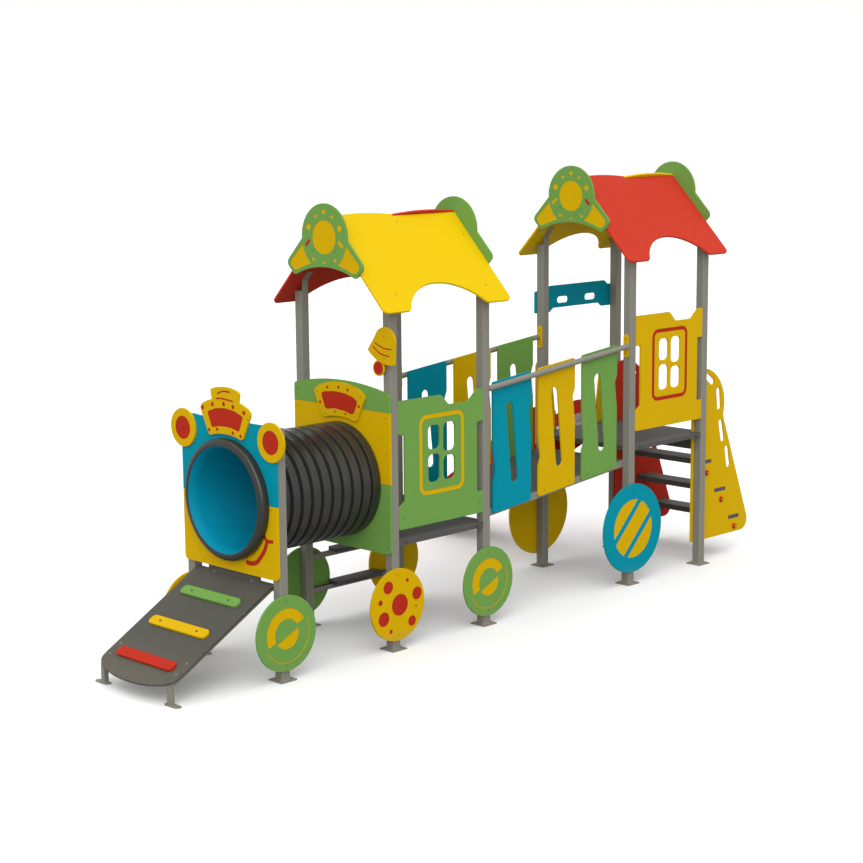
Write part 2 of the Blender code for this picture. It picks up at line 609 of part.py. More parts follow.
# Ramp board: its outline is drawn on the slope, down from the top end
slant = math.hypot(1, RAMP_SLOPE)
ramp_top = (RAMP_TOP_X, MID_Y, RAMP_TOP_Z)
downhill = Vector((-1, 0, -RAMP_SLOPE)) / slant
ramp_matrix = place(ramp_top, ACROSS, downhill)
nose = 1.045
ramp_outline = rounded([(RAMP_HALF, 0), (RAMP_HALF, nose, 0.12),
                        *bow((RAMP_HALF, nose), (-RAMP_HALF, nose), -0.145, 8),
                        (-RAMP_HALF, nose, 0.12), (-RAMP_HALF, 0)])
ramp = cut_from_sheet("ramp_board", ramp_outline, -RAMP_THICK, ramp_matrix, "ramp")
sill_half = RAMP_HALF - 0.150
sill = block("ramp_sill", (RAMP_TOP_X - 0.012, MID_Y - sill_half, RAMP_TOP_Z - 0.014),
             (-RAMP_LEG / 2 - 0.002, MID_Y + sill_half, PANEL_FOOT - 0.010), "ramp")
fuse(ramp, sill)

# Ramp cleats, each one a short board across the slope
CLEAT_FIRST, CLEAT_PITCH, CLEAT_WIDTH = 0.2426, 0.348, 0.068
cleat_half = RAMP_HALF - 0.110
for index, colour in enumerate(("green", "yellow", "red")):
    along = CLEAT_FIRST + index * CLEAT_PITCH
    low, high = along - CLEAT_WIDTH / 2, along + CLEAT_WIDTH / 2
    cleat = rounded([(-cleat_half, low, 0.02), (cleat_half, low, 0.02),
                     (cleat_half, high, 0.02), (-cleat_half, high, 0.02)])
    cut_from_sheet(f"ramp_cleat_{colour}", cleat, RAMP_THICK,
                   ramp_matrix @ Matrix.Translation((0, 0, GAP)), colour)

# Ramp frame: two rails under the board, a cross bar between the front posts, two legs
ramp_under = RAMP_TOP_Z - (RAMP_THICK + GAP) * slant
rail_y = RAMP_HALF - 0.013
leg_half = RAMP_LEG / 2
rail_height = 0.036


def under_ramp(x):
    return ramp_under + RAMP_SLOPE * (x - RAMP_TOP_X)


cross_half = TRACK / 2 - POST / 2 - GAP
ramp_frame = block("ramp_frame", (-leg_half, MID_Y - cross_half, under_ramp(0) - 0.034),
                   (leg_half, MID_Y + cross_half, under_ramp(0) - 0.004), "steel")
for side, label in ((NEAR, "near"), (FAR, "far")):
    low_x, high_x = RAMP_LEG_X - leg_half, 0.010
    rail = [(low_x, under_ramp(low_x) - rail_height), (high_x, under_ramp(high_x) - rail_height),
            (high_x, under_ramp(high_x)), (low_x, under_ramp(low_x))]
    start = MID_Y + side * rail_y - RAMP_LEG / 2
    tube = side_board(f"ramp_rail_{label}", rail, start, FAR, "steel", thickness=RAMP_LEG)
    leg = [(low_x, FOOT_THICK / 2), (low_x + RAMP_LEG, FOOT_THICK / 2),
           (low_x + RAMP_LEG, under_ramp(low_x + RAMP_LEG) - 0.004),
           (low_x, under_ramp(low_x) - 0.004)]
    upright = side_board(f"ramp_leg_{label}", leg, start, FAR, "steel", thickness=RAMP_LEG)
    shoe = slot(RAMP_LEG_X, MID_Y + side * rail_y - 0.035, RAMP_LEG_X,
                MID_Y + side * rail_y + 0.035, 0.060)
    foot = cut_from_sheet(f"ramp_foot_{label}", shoe, FOOT_THICK, place((0, 0, 0), ALONG, ACROSS),
                          "steel")
    fuse(ramp_frame, tube, upright, foot)

# Far steps between far posts 2 and 3: a bar with a rounded tread on it
step_front, step_back = POST_X[1] + POST / 2 + GAP, POST_X[2] - POST / 2 - GAP
far_row = MID_Y + TRACK / 2
for label, top in (("low", 0.310), ("high", 0.590)):
    bar = block(f"far_step_{label}", (step_front, far_row - 0.020, top - 0.040),
                (step_back, far_row + 0.020, top), "steel")
    tread = block(f"far_step_{label}_tread", (CABIN_MIDDLES[0] - 0.265, far_row - 0.105, top - SLIVER),
                  (CABIN_MIDDLES[0] + 0.265, far_row + 0.037, top + 0.030), "deck", 0.04)
    fuse(bar, tread)

# Stairs: two side boards, the treads fused to the far one and let through the near one
head_x, head_z, head_r = POST_X[4] + 0.068, DECK_HIGH + 0.215, 0.357
stair_foot, stair_tail = 0.200, POST_X[4] + 0.859
waist_x, waist_z = POST_X[4] + 0.407, DECK_HIGH + 0.099
stair_outline = rounded([
    (stair_front, stair_foot, 0.012), (stair_tail, stair_foot, 0.100), (waist_x, waist_z, 0.10),
    *arc(head_x, head_z, head_r, -9, 93, 12), (stair_front, DECK_HIGH + 0.528, 0.05)])
# Both end centres of each hand slot: behind post 5, and above the high deck
HAND_SLOTS = [(0.148, 0.493, 0.248, 0.423), (0.325, 0.356, 0.344, 0.171),
              (0.366, 0.048, 0.409, -0.141), (0.469, -0.213, 0.503, -0.397)]
hand_slots = [slot(POST_X[4] + a, DECK_HIGH + b, POST_X[4] + c, DECK_HIGH + d, 0.045)
              for a, b, c, d in HAND_SLOTS]
TREADS = [(0.048, 0.246), (0.277, 0.469), (0.503, 0.692)]
tread_deep, tenon_high = 0.050, 0.035
near_inner = MID_Y - stair_inner
far_inner = MID_Y + stair_inner
tenon_holes = []
treads = []
for index, (front, back) in enumerate(TREADS):
    top = DECK_HIGH - STAIR_TOP_DROP - index * STAIR_RISE
    front, back = POST_X[4] + front, POST_X[4] + back
    tenon = (front + 0.012, back - 0.012, top - tenon_high - 0.016, top - 0.016)
    tenon_holes.append(rounded([(tenon[0] - GAP, tenon[2] - GAP), (tenon[1] + GAP, tenon[2] - GAP),
                                (tenon[1] + GAP, tenon[3] + GAP), (tenon[0] - GAP, tenon[3] + GAP)]))
    treads.append(block(f"tread_{index}", (front, near_inner + GAP, top - tread_deep),
                        (back, far_inner + SLIVER, top), "deck"))
    treads.append(block(f"tenon_{index}", (tenon[0], near_inner - BOARD, tenon[2]),
                        (tenon[1], near_inner + 0.010, tenon[3]), "deck"))
side_board("stair_board_near", stair_outline, near_inner, NEAR, "yellow",
           [*hand_slots, *tenon_holes])
stair_far = side_board("stair_board_far", stair_outline, far_inner, FAR, "red", hand_slots)
fuse(stair_far, *treads)

# Grab bar board on the far side of the rear cabin
bar_front, bar_back = POST_X[3] - 0.056, POST_X[4] + 0.058
low, belly, waist, brow = GRAB_Z, GRAB_Z + 0.034, GRAB_Z + 0.203, GRAB_Z + 0.240
bar_outline = rounded([
    (bar_front, low, 0.02), (bar_front + 0.200, low, 0.03), (bar_front + 0.244, belly, 0.03),
    (bar_back - 0.257, belly, 0.03), (bar_back - 0.213, low, 0.03), (bar_back, low, 0.02),
    (bar_back, waist, 0.02), (bar_back - 0.130, waist, 0.03), (bar_back - 0.171, brow, 0.03),
    (bar_front + 0.207, brow, 0.03), (bar_front + 0.166, waist, 0.03), (bar_front, waist, 0.02)])
grip_z = GRAB_Z + 0.103
grips = [slot(bar_front + start, grip_z, bar_front + start + 0.098, grip_z, 0.060)
         for start in (0.331, 0.720)]
side_board("grab_board", bar_outline, outer_face(FAR) + GAP, FAR, "blue", grips)

# Slide on the far side: guards on far posts 4 and 5, two cheeks and a steel chute
slide_x = CABIN_MIDDLES[1]
cheek_y = outer_face(FAR) + GAP
for number, toward in ((4, 1), (5, -1)):
    post_edge = POST_X[number - 1] - toward * POST / 2
    edge = slide_x - toward * (SLIDE_HALF + GAP)
    guard = rounded([(u, DECK_HIGH + lift, *radius) for u, lift, *radius in (
        (post_edge, -0.117, 0.02), (edge, -0.117), (edge, 0.213), (edge - toward * 0.030, 0.373),
        (edge - toward * 0.075, 0.613, 0.05), (post_edge + toward * 0.060, 0.693, 0.06),
        (post_edge, 0.633, 0.04))])
    fuse(posts[number, FAR], side_board(f"slide_guard_{number}", guard, outer_face(FAR) - SLIVER,
                                        FAR, "yellow", thickness=BOARD + SLIVER))

slide_end = outer_face(FAR) + SLIDE_REACH
cheek_foot = 0.170
cheek_outline = rounded([
    (cheek_y, DECK_HIGH - 0.127), (cheek_y + 0.10, DECK_HIGH - 0.187, 0.10),
    (slide_end - 0.55, cheek_foot, 0.10), (slide_end, cheek_foot, 0.08),
    (slide_end, cheek_foot + 0.230, 0.10), (slide_end - 0.42, cheek_foot + 0.310, 0.25),
    (cheek_y + 0.26, DECK_HIGH + 0.193, 0.20), (cheek_y, DECK_HIGH + 0.193, 0.04)])
for label, toward in (("front", -1), ("rear", 1)):
    start = slide_x + toward * (SLIDE_HALF - BOARD / 2) - BOARD / 2
    cut_from_sheet(f"slide_cheek_{label}", cheek_outline, BOARD,
                   place((start, 0, 0), ACROSS, UPRIGHT), "red")

chute_top, chute_foot = DECK_HIGH - 0.012, cheek_foot + 0.080
chute_path = rounded([(cheek_y, chute_top), (cheek_y + 0.20, chute_top, 0.30),
                      (slide_end - 0.50, chute_foot + 0.020, 0.45), (slide_end - 0.020, chute_foot)])
chute_half = SLIDE_HALF - BOARD - GAP
chute_side = 0.090
chute_section = [(-chute_half, 0), (chute_half, 0), (chute_half, chute_side),
                 (chute_half - SHEET, chute_side), (chute_half - SHEET, SHEET),
                 (-chute_half + SHEET, SHEET), (-chute_half + SHEET, chute_side),
                 (-chute_half, chute_side)]
mesh = bmesh.new()
rings = []
for index, point in enumerate(chute_path):
    before = chute_path[max(index - 1, 0)]
    after = chute_path[min(index + 1, len(chute_path) - 1)]
    heading = (after - before).normalized()
    lift = Vector((-heading.y, heading.x))
    rings.append([mesh.verts.new((slide_x + u, point.x + v * lift.x, point.y + v * lift.y))
                  for u, v in chute_section])
for first, second in zip(rings, rings[1:]):
    for k in range(len(first)):
        mesh.faces.new((first[k - 1], first[k], second[k], second[k - 1]))
mesh.faces.new(rings[0])
mesh.faces.new(rings[-1])
chute = add_object("slide_chute", mesh, "stainless")
leg_y = slide_end - 0.300
leg = block("slide_leg", (slide_x - 0.030, leg_y - 0.030, FOOT_THICK / 2),
            (slide_x + 0.030, leg_y + 0.030, chute_foot + 0.013), "steel")
slide_foot = block("slide_foot", (slide_x - FOOT / 2, leg_y - FOOT / 2, 0),
                   (slide_x + FOOT / 2, leg_y + FOOT / 2, FOOT_THICK), "steel", 0.010)
fuse(chute, leg, slide_foot)
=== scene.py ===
"""Studio picture of a train play structure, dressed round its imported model.

Each section makes one group of pieces, in the order in which they are put together.
"""

import math

import bmesh
import bpy
from mathutils import Matrix, Vector, geometry


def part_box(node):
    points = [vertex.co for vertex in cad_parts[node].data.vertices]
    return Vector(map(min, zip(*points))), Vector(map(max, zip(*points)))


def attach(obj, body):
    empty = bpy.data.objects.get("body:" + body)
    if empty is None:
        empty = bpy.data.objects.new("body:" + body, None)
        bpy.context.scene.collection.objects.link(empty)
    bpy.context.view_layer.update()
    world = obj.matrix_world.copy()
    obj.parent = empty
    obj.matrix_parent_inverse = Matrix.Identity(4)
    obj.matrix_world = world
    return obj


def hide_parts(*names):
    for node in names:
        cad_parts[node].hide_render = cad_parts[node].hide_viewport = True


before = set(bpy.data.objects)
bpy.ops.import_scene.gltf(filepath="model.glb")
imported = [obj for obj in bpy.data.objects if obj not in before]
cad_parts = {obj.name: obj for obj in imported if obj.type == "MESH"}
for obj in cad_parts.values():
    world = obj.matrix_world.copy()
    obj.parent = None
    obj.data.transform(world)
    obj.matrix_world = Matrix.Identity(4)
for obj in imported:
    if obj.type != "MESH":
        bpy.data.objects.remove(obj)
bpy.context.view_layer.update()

# Posts: ten square steel tubes on welded foot plates, with bent brackets inside their heads for
# the roof boards. Powder coated warm grey, with a fine orange peel. The far ones also carry
# wheel discs and slide guards, which are plastic and are made further down.
POST_HALF = 0.040
POST_EDGE = 0.0012        # eased edge of cut steel
FOOT_TOP = 0.008          # upper face of a foot plate
WELD_BEAD, WELD_LAP = 0.006, 0.0005    # the weld's size, and how far it runs into the tube
WELD_RIPPLE = 0.0006
WELD_STEPS = 32           # points round a weld
CREASE = math.radians(40) # an edge sharper than this is drawn crisp, others smooth


def screen_colour(red, green, blue):
    """Blender's linear colour for three 0-255 screen levels."""
    shares = [level / 255 for level in (red, green, blue)]
    return [c / 12.92 if c < 0.04045 else ((c + 0.055) / 1.055) ** 2.4 for c in shares] + [1.0]


def shader_group(name, inputs, outputs):
    """Node group with named sockets: returns it with its input and output nodes."""
    group = bpy.data.node_groups.new(name, "ShaderNodeTree")
    for label, kind, value in inputs:
        socket = group.interface.new_socket(label, in_out="INPUT", socket_type="NodeSocket" + kind)
        socket.default_value = value
    for label, kind in outputs:
        group.interface.new_socket(label, in_out="OUTPUT", socket_type="NodeSocket" + kind)
    return group, group.nodes.new("NodeGroupInput"), group.nodes.new("NodeGroupOutput")


def add_node(tree, kind, inputs=None, **settings):
    """Node of one kind, its sockets set to values or joined to other nodes' sockets."""
    made = tree.nodes.new("ShaderNode" + kind)
    for key, value in settings.items():
        setattr(made, key, value)
    for entry, value in (inputs or {}).items():
        if isinstance(value, bpy.types.NodeSocket):
            tree.links.new(value, made.inputs[entry])
        else:
            made.inputs[entry].default_value = value
    return made


def fine_peel():
    """Height of a sprayed or pressed skin: fine cells over slow waves."""
    group, given, result = shader_group(
        "fine_peel", [("Cells per metre", "Float", 700.0), ("Waves", "Float", 0.6)],
        [("Height", "Float")])
    place = add_node(group, "TexCoord").outputs["Object"]
    cells = add_node(group, "TexNoise", {"Vector": place, "Detail": 2.0,
                                         "Scale": given.outputs["Cells per metre"]})
    waves = add_node(group, "TexNoise", {"Vector": place, "Scale": 9.0, "Detail": 1.0})
    height = add_node(group, "Math", {0: waves.outputs["Fac"], 1: given.outputs["Waves"],
                                      2: cells.outputs["Fac"]}, operation="MULTIPLY_ADD")
    group.links.new(height.outputs[0], result.inputs["Height"])
    return group


def outdoor_use():
    """Colour and roughness of a surface with slow fading, light scuffs and soil near the ground."""
    group, given, result = shader_group(
        "outdoor_use",
        [("Colour", "Color", (0.5, 0.5, 0.5, 1.0)), ("Roughness", "Float", 0.45),
         ("Fading", "Float", 0.06), ("Scuffs", "Float", 0.15), ("Soil height", "Float", 0.25)],
        [("Colour", "Color"), ("Roughness", "Float")])
    place = add_node(group, "TexCoord").outputs["Object"]
    level = add_node(group, "SeparateXYZ", {0: place}).outputs["Z"]
    slow = add_node(group, "TexNoise", {"Vector": place, "Scale": 1.7, "Detail": 4.0})
    tone = add_node(group, "Math", {0: slow.outputs["Fac"], 1: -0.5}, operation="ADD")
    tone = add_node(group, "Math", {0: tone.outputs[0], 1: given.outputs["Fading"], 2: 1.0},
                    operation="MULTIPLY_ADD")
    faded = add_node(group, "HueSaturation", {"Color": given.outputs["Colour"],
                                              "Value": tone.outputs[0]})
    squeezed = add_node(group, "Mapping", {"Vector": place, "Rotation": (0.3, 0.5, 0.2),
                                           "Scale": (14.0, 90.0, 30.0)})
    streaks = add_node(group, "TexNoise", {"Vector": squeezed.outputs[0], "Scale": 1.0,
                                           "Detail": 5.0, "Roughness": 0.7})
    scuffs = add_node(group, "MapRange", {0: streaks.outputs["Fac"], 1: 0.66, 2: 0.74, 3: 0.0,
                                          4: 1.0})
    scuffs = add_node(group, "Math", {0: scuffs.outputs[0], 1: given.outputs["Scuffs"]},
                      operation="MULTIPLY")
    soil = add_node(group, "MapRange", {0: level, 1: 0.0, 2: given.outputs["Soil height"],
                                        3: 0.45, 4: 0.0})
    blots = add_node(group, "TexNoise", {"Vector": place, "Scale": 13.0, "Detail": 6.0})
    soil = add_node(group, "Math", {0: soil.outputs[0], 1: blots.outputs["Fac"]},
                    operation="MULTIPLY")
    rubbed = add_node(group, "Mix", {"Factor": scuffs.outputs[0], 6: faded.outputs[0],
                                     7: screen_colour(214, 212, 204)}, data_type="RGBA")
    dusty = add_node(group, "Mix", {"Factor": soil.outputs[0], 6: rubbed.outputs[2],
                                    7: screen_colour(150, 138, 118)}, data_type="RGBA")
    worn = add_node(group, "Math", {0: scuffs.outputs[0], 1: soil.outputs[0]}, operation="ADD")
    gloss = add_node(group, "Math", {0: worn.outputs[0], 1: 0.5, 2: given.outputs["Roughness"]},
                     operation="MULTIPLY_ADD")
    dull = add_node(group, "Math", {0: slow.outputs["Fac"], 1: 0.10, 2: gloss.outputs[0]},
                    operation="MULTIPLY_ADD")
    group.links.new(dusty.outputs[2], result.inputs["Colour"])
    group.links.new(dull.outputs[0], result.inputs["Roughness"])
    return group


PEEL, USE = fine_peel(), outdoor_use()


def finish(name, colour, roughness, cells, bump, metallic=0.0, scuffs=0.15, soil=0.25,
           fading=0.06, waves=0.6, specular=0.5):
    """Material with a peeled skin and outdoor wear; cells per metre, bump in metres."""
    material = bpy.data.materials.new(name)
    material.use_nodes = True
    tree = material.node_tree
    shader = tree.nodes["Principled BSDF"]
    shader.inputs["Metallic"].default_value = metallic
    shader.inputs["Specular IOR Level"].default_value = specular
    use = add_node(tree, "Group", node_tree=USE)
    for label, value in (("Colour", screen_colour(*colour)), ("Roughness", roughness),
                         ("Fading", fading), ("Scuffs", scuffs), ("Soil height", soil)):
        use.inputs[label].default_value = value
    peel = add_node(tree, "Group", node_tree=PEEL)
    peel.inputs["Cells per metre"].default_value = cells
    peel.inputs["Waves"].default_value = waves
    relief = add_node(tree, "Bump", {"Height": peel.outputs["Height"], "Distance": bump,
                                     "Strength": 0.5})
    tree.links.new(use.outputs["Colour"], shader.inputs["Base Color"])
    tree.links.new(use.outputs["Roughness"], shader.inputs["Roughness"])
    tree.links.new(relief.outputs["Normal"], shader.inputs["Normal"])
    return material


POST_STEEL = finish("powder_coated_steel", (136, 134, 123), 0.40, 900, 0.0006, metallic=0.15,
                    specular=0.35)


def packed_mesh(node):
    """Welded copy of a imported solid."""
    mesh = bmesh.new()
    mesh.from_mesh(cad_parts[node].data)
    bmesh.ops.remove_doubles(mesh, verts=mesh.verts, dist=1e-5)
    return mesh


def ease_edges(mesh, width):
    """Flat faces made whole, and every sharp edge rounded off."""
    bmesh.ops.dissolve_limit(mesh, angle_limit=math.radians(0.4), verts=mesh.verts,
                             edges=mesh.edges, delimit={"NORMAL"})
    sharp = [edge for edge in mesh.edges
             if len(edge.link_faces) == 2 and edge.calc_face_angle(0) > math.radians(35)]
    bmesh.ops.bevel(mesh, geom=sharp, offset=width, segments=2, profile=0.5, affect="EDGES",
                    clamp_overlap=True)


def add_piece(name, mesh, finishes, nodes=()):
    """The mesh as a smooth-shaded piece of the train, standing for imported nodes."""
    data = bpy.data.meshes.new(name)
    if isinstance(mesh, bmesh.types.BMesh):
        mesh.to_mesh(data)
        mesh.free()
    else:
        data = mesh
    piece = bpy.data.objects.new(name, data)
    bpy.context.scene.collection.objects.link(piece)
    if not data.materials:
        for material in finishes:
            data.materials.append(material)
    data.shade_smooth()
    data.set_sharp_from_angle(angle=CREASE)
    even = piece.modifiers.new("even_shading", "WEIGHTED_NORMAL")
    even.keep_sharp = True
    even.weight = 60
    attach(piece, "root")
    if nodes:
        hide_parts(*nodes)
    return piece


def add_weld(mesh, x, y, half, level):
    """Fillet weld round a square tube where it stands on its plate."""
    squareness = 1.35     # a circle this much wider, cut back to the tube's flat sides
    rings = []
    for out, up in ((0.0, WELD_BEAD), (WELD_BEAD * 0.45, WELD_BEAD * 0.55), (WELD_BEAD, 0.0)):
        ring = []
        for step in range(WELD_STEPS):
            angle = math.tau * (step + 0.5) / WELD_STEPS
            reach = half + out
            across = max(-reach, min(reach, squareness * reach * math.cos(angle)))
            along = max(-reach, min(reach, squareness * reach * math.sin(angle)))
            ripple = WELD_RIPPLE * math.sin(step * 2.9)
            ring.append(mesh.verts.new((x + across, y + along, level + up + ripple)))
        rings.append(ring)
    for inner, outer in zip(rings, rings[1:]):
        for k in range(WELD_STEPS):
            mesh.faces.new((inner[k - 1], outer[k - 1], outer[k], inner[k]))


mid_y = sum(corner.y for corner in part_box("tunnel_tube")) / 2
near_row = sum(corner.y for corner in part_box("post_1_near")) / 2
far_row = 2 * mid_y - near_row
post_x = [sum(corner.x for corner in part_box(f"post_{k}_near")) / 2 for k in range(1, 6)]
mirror = Matrix.Translation((0, 2 * mid_y, 0)) @ Matrix.Diagonal((1, -1, 1, 1))
for number in range(1, 6):
    for side, row in (("near", near_row), ("far", far_row)):
        mesh = packed_mesh(f"post_{number}_near")
        if side == "far":
            mesh.transform(mirror)
            bmesh.ops.reverse_faces(mesh, faces=mesh.faces)
        ease_edges(mesh, POST_EDGE)
        add_weld(mesh, post_x[number - 1], row, POST_HALF - WELD_LAP, FOOT_TOP)
        add_piece(f"steel_post_{number}_{side}", mesh, [POST_STEEL],
                  [f"post_{number}_{side}"])

# Decks: two folded steel trays screwed between the cabin posts, and the sloping bridge floor
# between them. Steel with a dark, hard rubbery coat that gives grip.
DECK_COAT = finish("dark_grip_coat", (78, 76, 73), 0.62, 420, 0.0016, scuffs=0.35, soil=0.05,
                   fading=0.12, waves=0.25)
for node in ("deck_low", "deck_high", "bridge_floor"):
    mesh = packed_mesh(node)
    ease_edges(mesh, POST_EDGE)
    if node == "bridge_floor":
        for face in mesh.faces:    # its rails' sides and its underside are coated like the posts
            face.material_index = int(abs(face.normal.y) > 0.9 or face.normal.z < -0.9)
    add_piece(f"coated_{node}", mesh, [DECK_COAT, POST_STEEL], [node])

# Deck screws: steel with a dark coat, hexagon heads on washers. They go through the trays' lips,
# one beside each cabin post.
NEAR_WAY, FAR_WAY = Vector((0, -1, 0)), Vector((0, 1, 0))
SCREW_IN, SCREW_DOWN = 0.075, 0.024    # from the post's face, and from the deck's top
DECK_SCREW = 0.014        # a washer's radius is nine tenths of a head's size
HEAD_STEPS = 24           # points round a head
BOLT = finish("dark_coated_bolt", (70, 69, 64), 0.40, 1500, 0.0002, metallic=0.4, scuffs=0.05)


def add_bolt_head(mesh, spot, way, size):
    """Hexagon head with a chamfered top, on a round washer."""
    way = Vector(way).normalized()
    turn = way.to_track_quat("Z", "Y").to_matrix().to_4x4()
    turn.translation = spot
    rings = []
    for radius, height, hexagon in ((0.90, 0.0, False), (0.90, 0.10, False), (0.86, 0.13, False),
                                    (0.50, 0.13, True), (0.50, 0.42, True), (0.44, 0.48, True)):
        ring = []
        for step in range(HEAD_STEPS):
            angle = math.tau * step / HEAD_STEPS
            flat = radius
            if hexagon:
                off = (angle % (math.tau / 6)) - math.tau / 12
                flat = radius * math.cos(math.pi / 6) / math.cos(off)
            ring.append(mesh.verts.new(turn @ Vector((
                size * flat * math.cos(angle), size * flat * math.sin(angle), size * height))))
        rings.append(ring)
    for low, high in zip(rings, rings[1:]):
        for k in range(HEAD_STEPS):
            mesh.faces.new((low[k - 1], low[k], high[k], high[k - 1]))
    mesh.faces.new(list(reversed(rings[0])))
    mesh.faces.new(rings[-1])


mesh = bmesh.new()
for node, first, second in (("deck_low", 1, 2), ("deck_high", 3, 4)):
    low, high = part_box(node)
    level = high.z - SCREW_DOWN
    for x, way in ((post_x[first], 1), (post_x[second], -1)):
        for y, side_way in ((low.y, NEAR_WAY), (high.y, FAR_WAY)):
            spot = (x + way * (POST_HALF + SCREW_IN), y, level)
            add_bolt_head(mesh, spot, side_way, DECK_SCREW)
add_piece("deck_screws", mesh, [BOLT])

# Ramp frame: welded square tube, coated like the posts. Its rails lie a little farther in and
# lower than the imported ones, so that the board hides them, on long foot plates turned outward.
RAMP_SLOPE = 0.5786
RAMP_END = (-0.060, 0.7074)       # x and level of the board's top, near its upper end
PACKED_SLOPE, PACKED_LEVEL = 0.60, 0.745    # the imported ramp's slope, and its level there
RAIL_OUT, RAIL_IN = 0.427, 0.029  # packed rails' distance from the middle, and how far they move
RAIL_BAND = (0.40, 0.45)          # what lies between these distances belongs to a rail or leg
LEG_X, TUBE_REACH = -0.948, 0.021 # packed legs' middle, and half a tube with 1 mm to spare
HEAD_DROP = 0.010                 # the cross bar at the posts goes this much lower
FOOT_X, FOOT_DROP, FOOT_ON = -0.9, 0.007, 0.012    # the lower end goes lower and farther out
PLATE_LEVEL = 0.012               # foot plates lie below this
PLATE_OUT, PLATE_IN = 0.011, 0.021                 # how much longer a foot plate is at each end


def ramp_drop(x):
    """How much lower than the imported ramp's the surface lies at x."""
    return PACKED_LEVEL - RAMP_END[1] + (PACKED_SLOPE - RAMP_SLOPE) * (x - RAMP_END[0])


mesh = packed_mesh("ramp_frame")
for vertex in mesh.verts:
    spot, side = vertex.co, math.copysign(1, vertex.co.y - mid_y)
    out = abs(spot.y - mid_y)
    on_leg = abs(spot.x - LEG_X) < TUBE_REACH and abs(out - RAIL_OUT) < TUBE_REACH
    if spot.z > PLATE_LEVEL:
        spot.z -= ramp_drop(spot.x) + (HEAD_DROP if spot.x > -TUBE_REACH else 0)
    if spot.x < FOOT_X:
        spot.z -= FOOT_DROP if spot.z > PLATE_LEVEL else 0
        spot.x -= FOOT_ON
    if spot.z > PLATE_LEVEL or on_leg:
        spot.y -= side * RAIL_IN if RAIL_BAND[0] < out < RAIL_BAND[1] else 0
    else:
        spot.y += side * (PLATE_OUT if out > RAIL_OUT else -PLATE_IN)
ease_edges(mesh, POST_EDGE)
add_piece("welded_ramp_frame", mesh, [POST_STEEL], ["ramp_frame"])

# Far steps: two bars of square tube, welded between the far posts and coated like them. Each
# carries a moulded dark tread with five ribs across its top, screwed down.
TREAD_DEEP = 0.0325       # a tread's thickness, with half a millimetre to spare
TREAD_RIBS, TREAD_RIB_HALF = 5, 0.225
TREAD_EDGE = 0.022        # from a tread's edge to its outer ribs
TREAD_RIB = [(-0.004, 0.0), (-0.0025, 0.0018), (0.0025, 0.0018), (0.004, 0.0)]
RIB_SUNK = 0.0004
for node in ("far_step_low", "far_step_high"):
    mesh = packed_mesh(node)
    ease_edges(mesh, POST_EDGE)
    low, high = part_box(node)
    piece = add_piece(f"coated_{node}", mesh, [POST_STEEL, DECK_COAT], [node])
    for face in piece.data.polygons:
        if face.center.z > high.z - TREAD_DEEP:
            face.material_index = 1
    ribs = bmesh.new()
    first_y, last_y = low.y + TREAD_EDGE, high.y - TREAD_EDGE
    middle_x = (post_x[1] + post_x[2]) / 2
    for rib in range(TREAD_RIBS):
        y = first_y + (last_y - first_y) * rib / (TREAD_RIBS - 1)
        ends = []
        for x in (middle_x - TREAD_RIB_HALF, middle_x + TREAD_RIB_HALF):
            ends.append([ribs.verts.new((x, y + v, high.z - RIB_SUNK + w)) for v, w in TREAD_RIB])
        for k in range(len(TREAD_RIB)):
            ribs.faces.new((ends[0][k - 1], ends[0][k], ends[1][k], ends[1][k - 1]))
        ribs.faces.new(list(reversed(ends[0])))
        ribs.faces.new(ends[1])
    bmesh.ops.recalc_face_normals(ribs, faces=ribs.faces)
    add_piece(f"{node}_tread_ribs", ribs, [DECK_COAT])

# Locomotive front: a yellow and a blue board round the tunnel's mouth, with a smiling groove.
# Sheet plastic 18 mm thick with a pebbled skin; the router eases every edge and sinks the
# ornament until the core of another colour shows. Screwed to the front posts.
UP = Vector((0, 0, 1))
FRONT_WAY = Vector((-1, 0, 0))
BOARD = 0.018
EASED = 0.0022            # radius of the router's rounded edge
ROUT = 0.0028             # depth of sunk ornament
ROUTER_CLEAR = 0.002      # how far above the face a cutter starts
CAPS = {}                 # finish of the screw caps that go with each sheet


def sheet_plastic(name, colour):
    """Pebbled sheet plastic, and the darker caps that are pressed over its screws."""
    sheet = finish(name, colour, 0.40, 520, 0.0011, scuffs=0.05, soil=0.18, fading=0.05,
                   specular=0.04)
    CAPS[sheet] = finish(f"{name}_cap", [0.74 * level for level in colour], 0.45, 900, 0.0003,
                         specular=0.2)
    return sheet


GREEN = sheet_plastic("green_sheet", (110, 155, 75))
YELLOW = sheet_plastic("yellow_sheet", (209, 169, 4))
BLUE = sheet_plastic("blue_sheet", (3, 141, 161))
RED = sheet_plastic("red_sheet", (178, 45, 27))


def sheet_place(way, up, origin):
    """Matrix from a board's outline (u to the right, v up, seen from outside) to the train."""
    way, up = Vector(way).normalized(), Vector(up).normalized()
    matrix = Matrix((up.cross(way), up, way)).transposed().to_4x4()
    matrix.translation = Vector(origin)
    return matrix


def packed_outlines(mesh, place):
    """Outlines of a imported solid's flat face in one plane, holes running the other way."""
    back = place.inverted()
    for vertex in mesh.verts:
        vertex.tag = abs((back @ vertex.co).z) < 1e-4
    for face in mesh.faces:
        face.tag = all(vertex.tag for vertex in face.verts)
    follow = {}
    for face in mesh.faces:
        for loop in face.loops if face.tag else ():
            if sum(other.tag for other in loop.edge.link_faces) == 1:
                follow[loop.vert] = loop.link_loop_next.vert
    found = []
    while follow:
        start = next(iter(follow))
        outline, here = [], start
        while here in follow:
            outline.append((back @ here.co).xy)
            here = follow.pop(here)
        found.append(outline)
    return found


def bend(before, after):
    """Signed angle from one leg of an outline to the next."""
    return math.atan2(before.cross(after), before.dot(after))


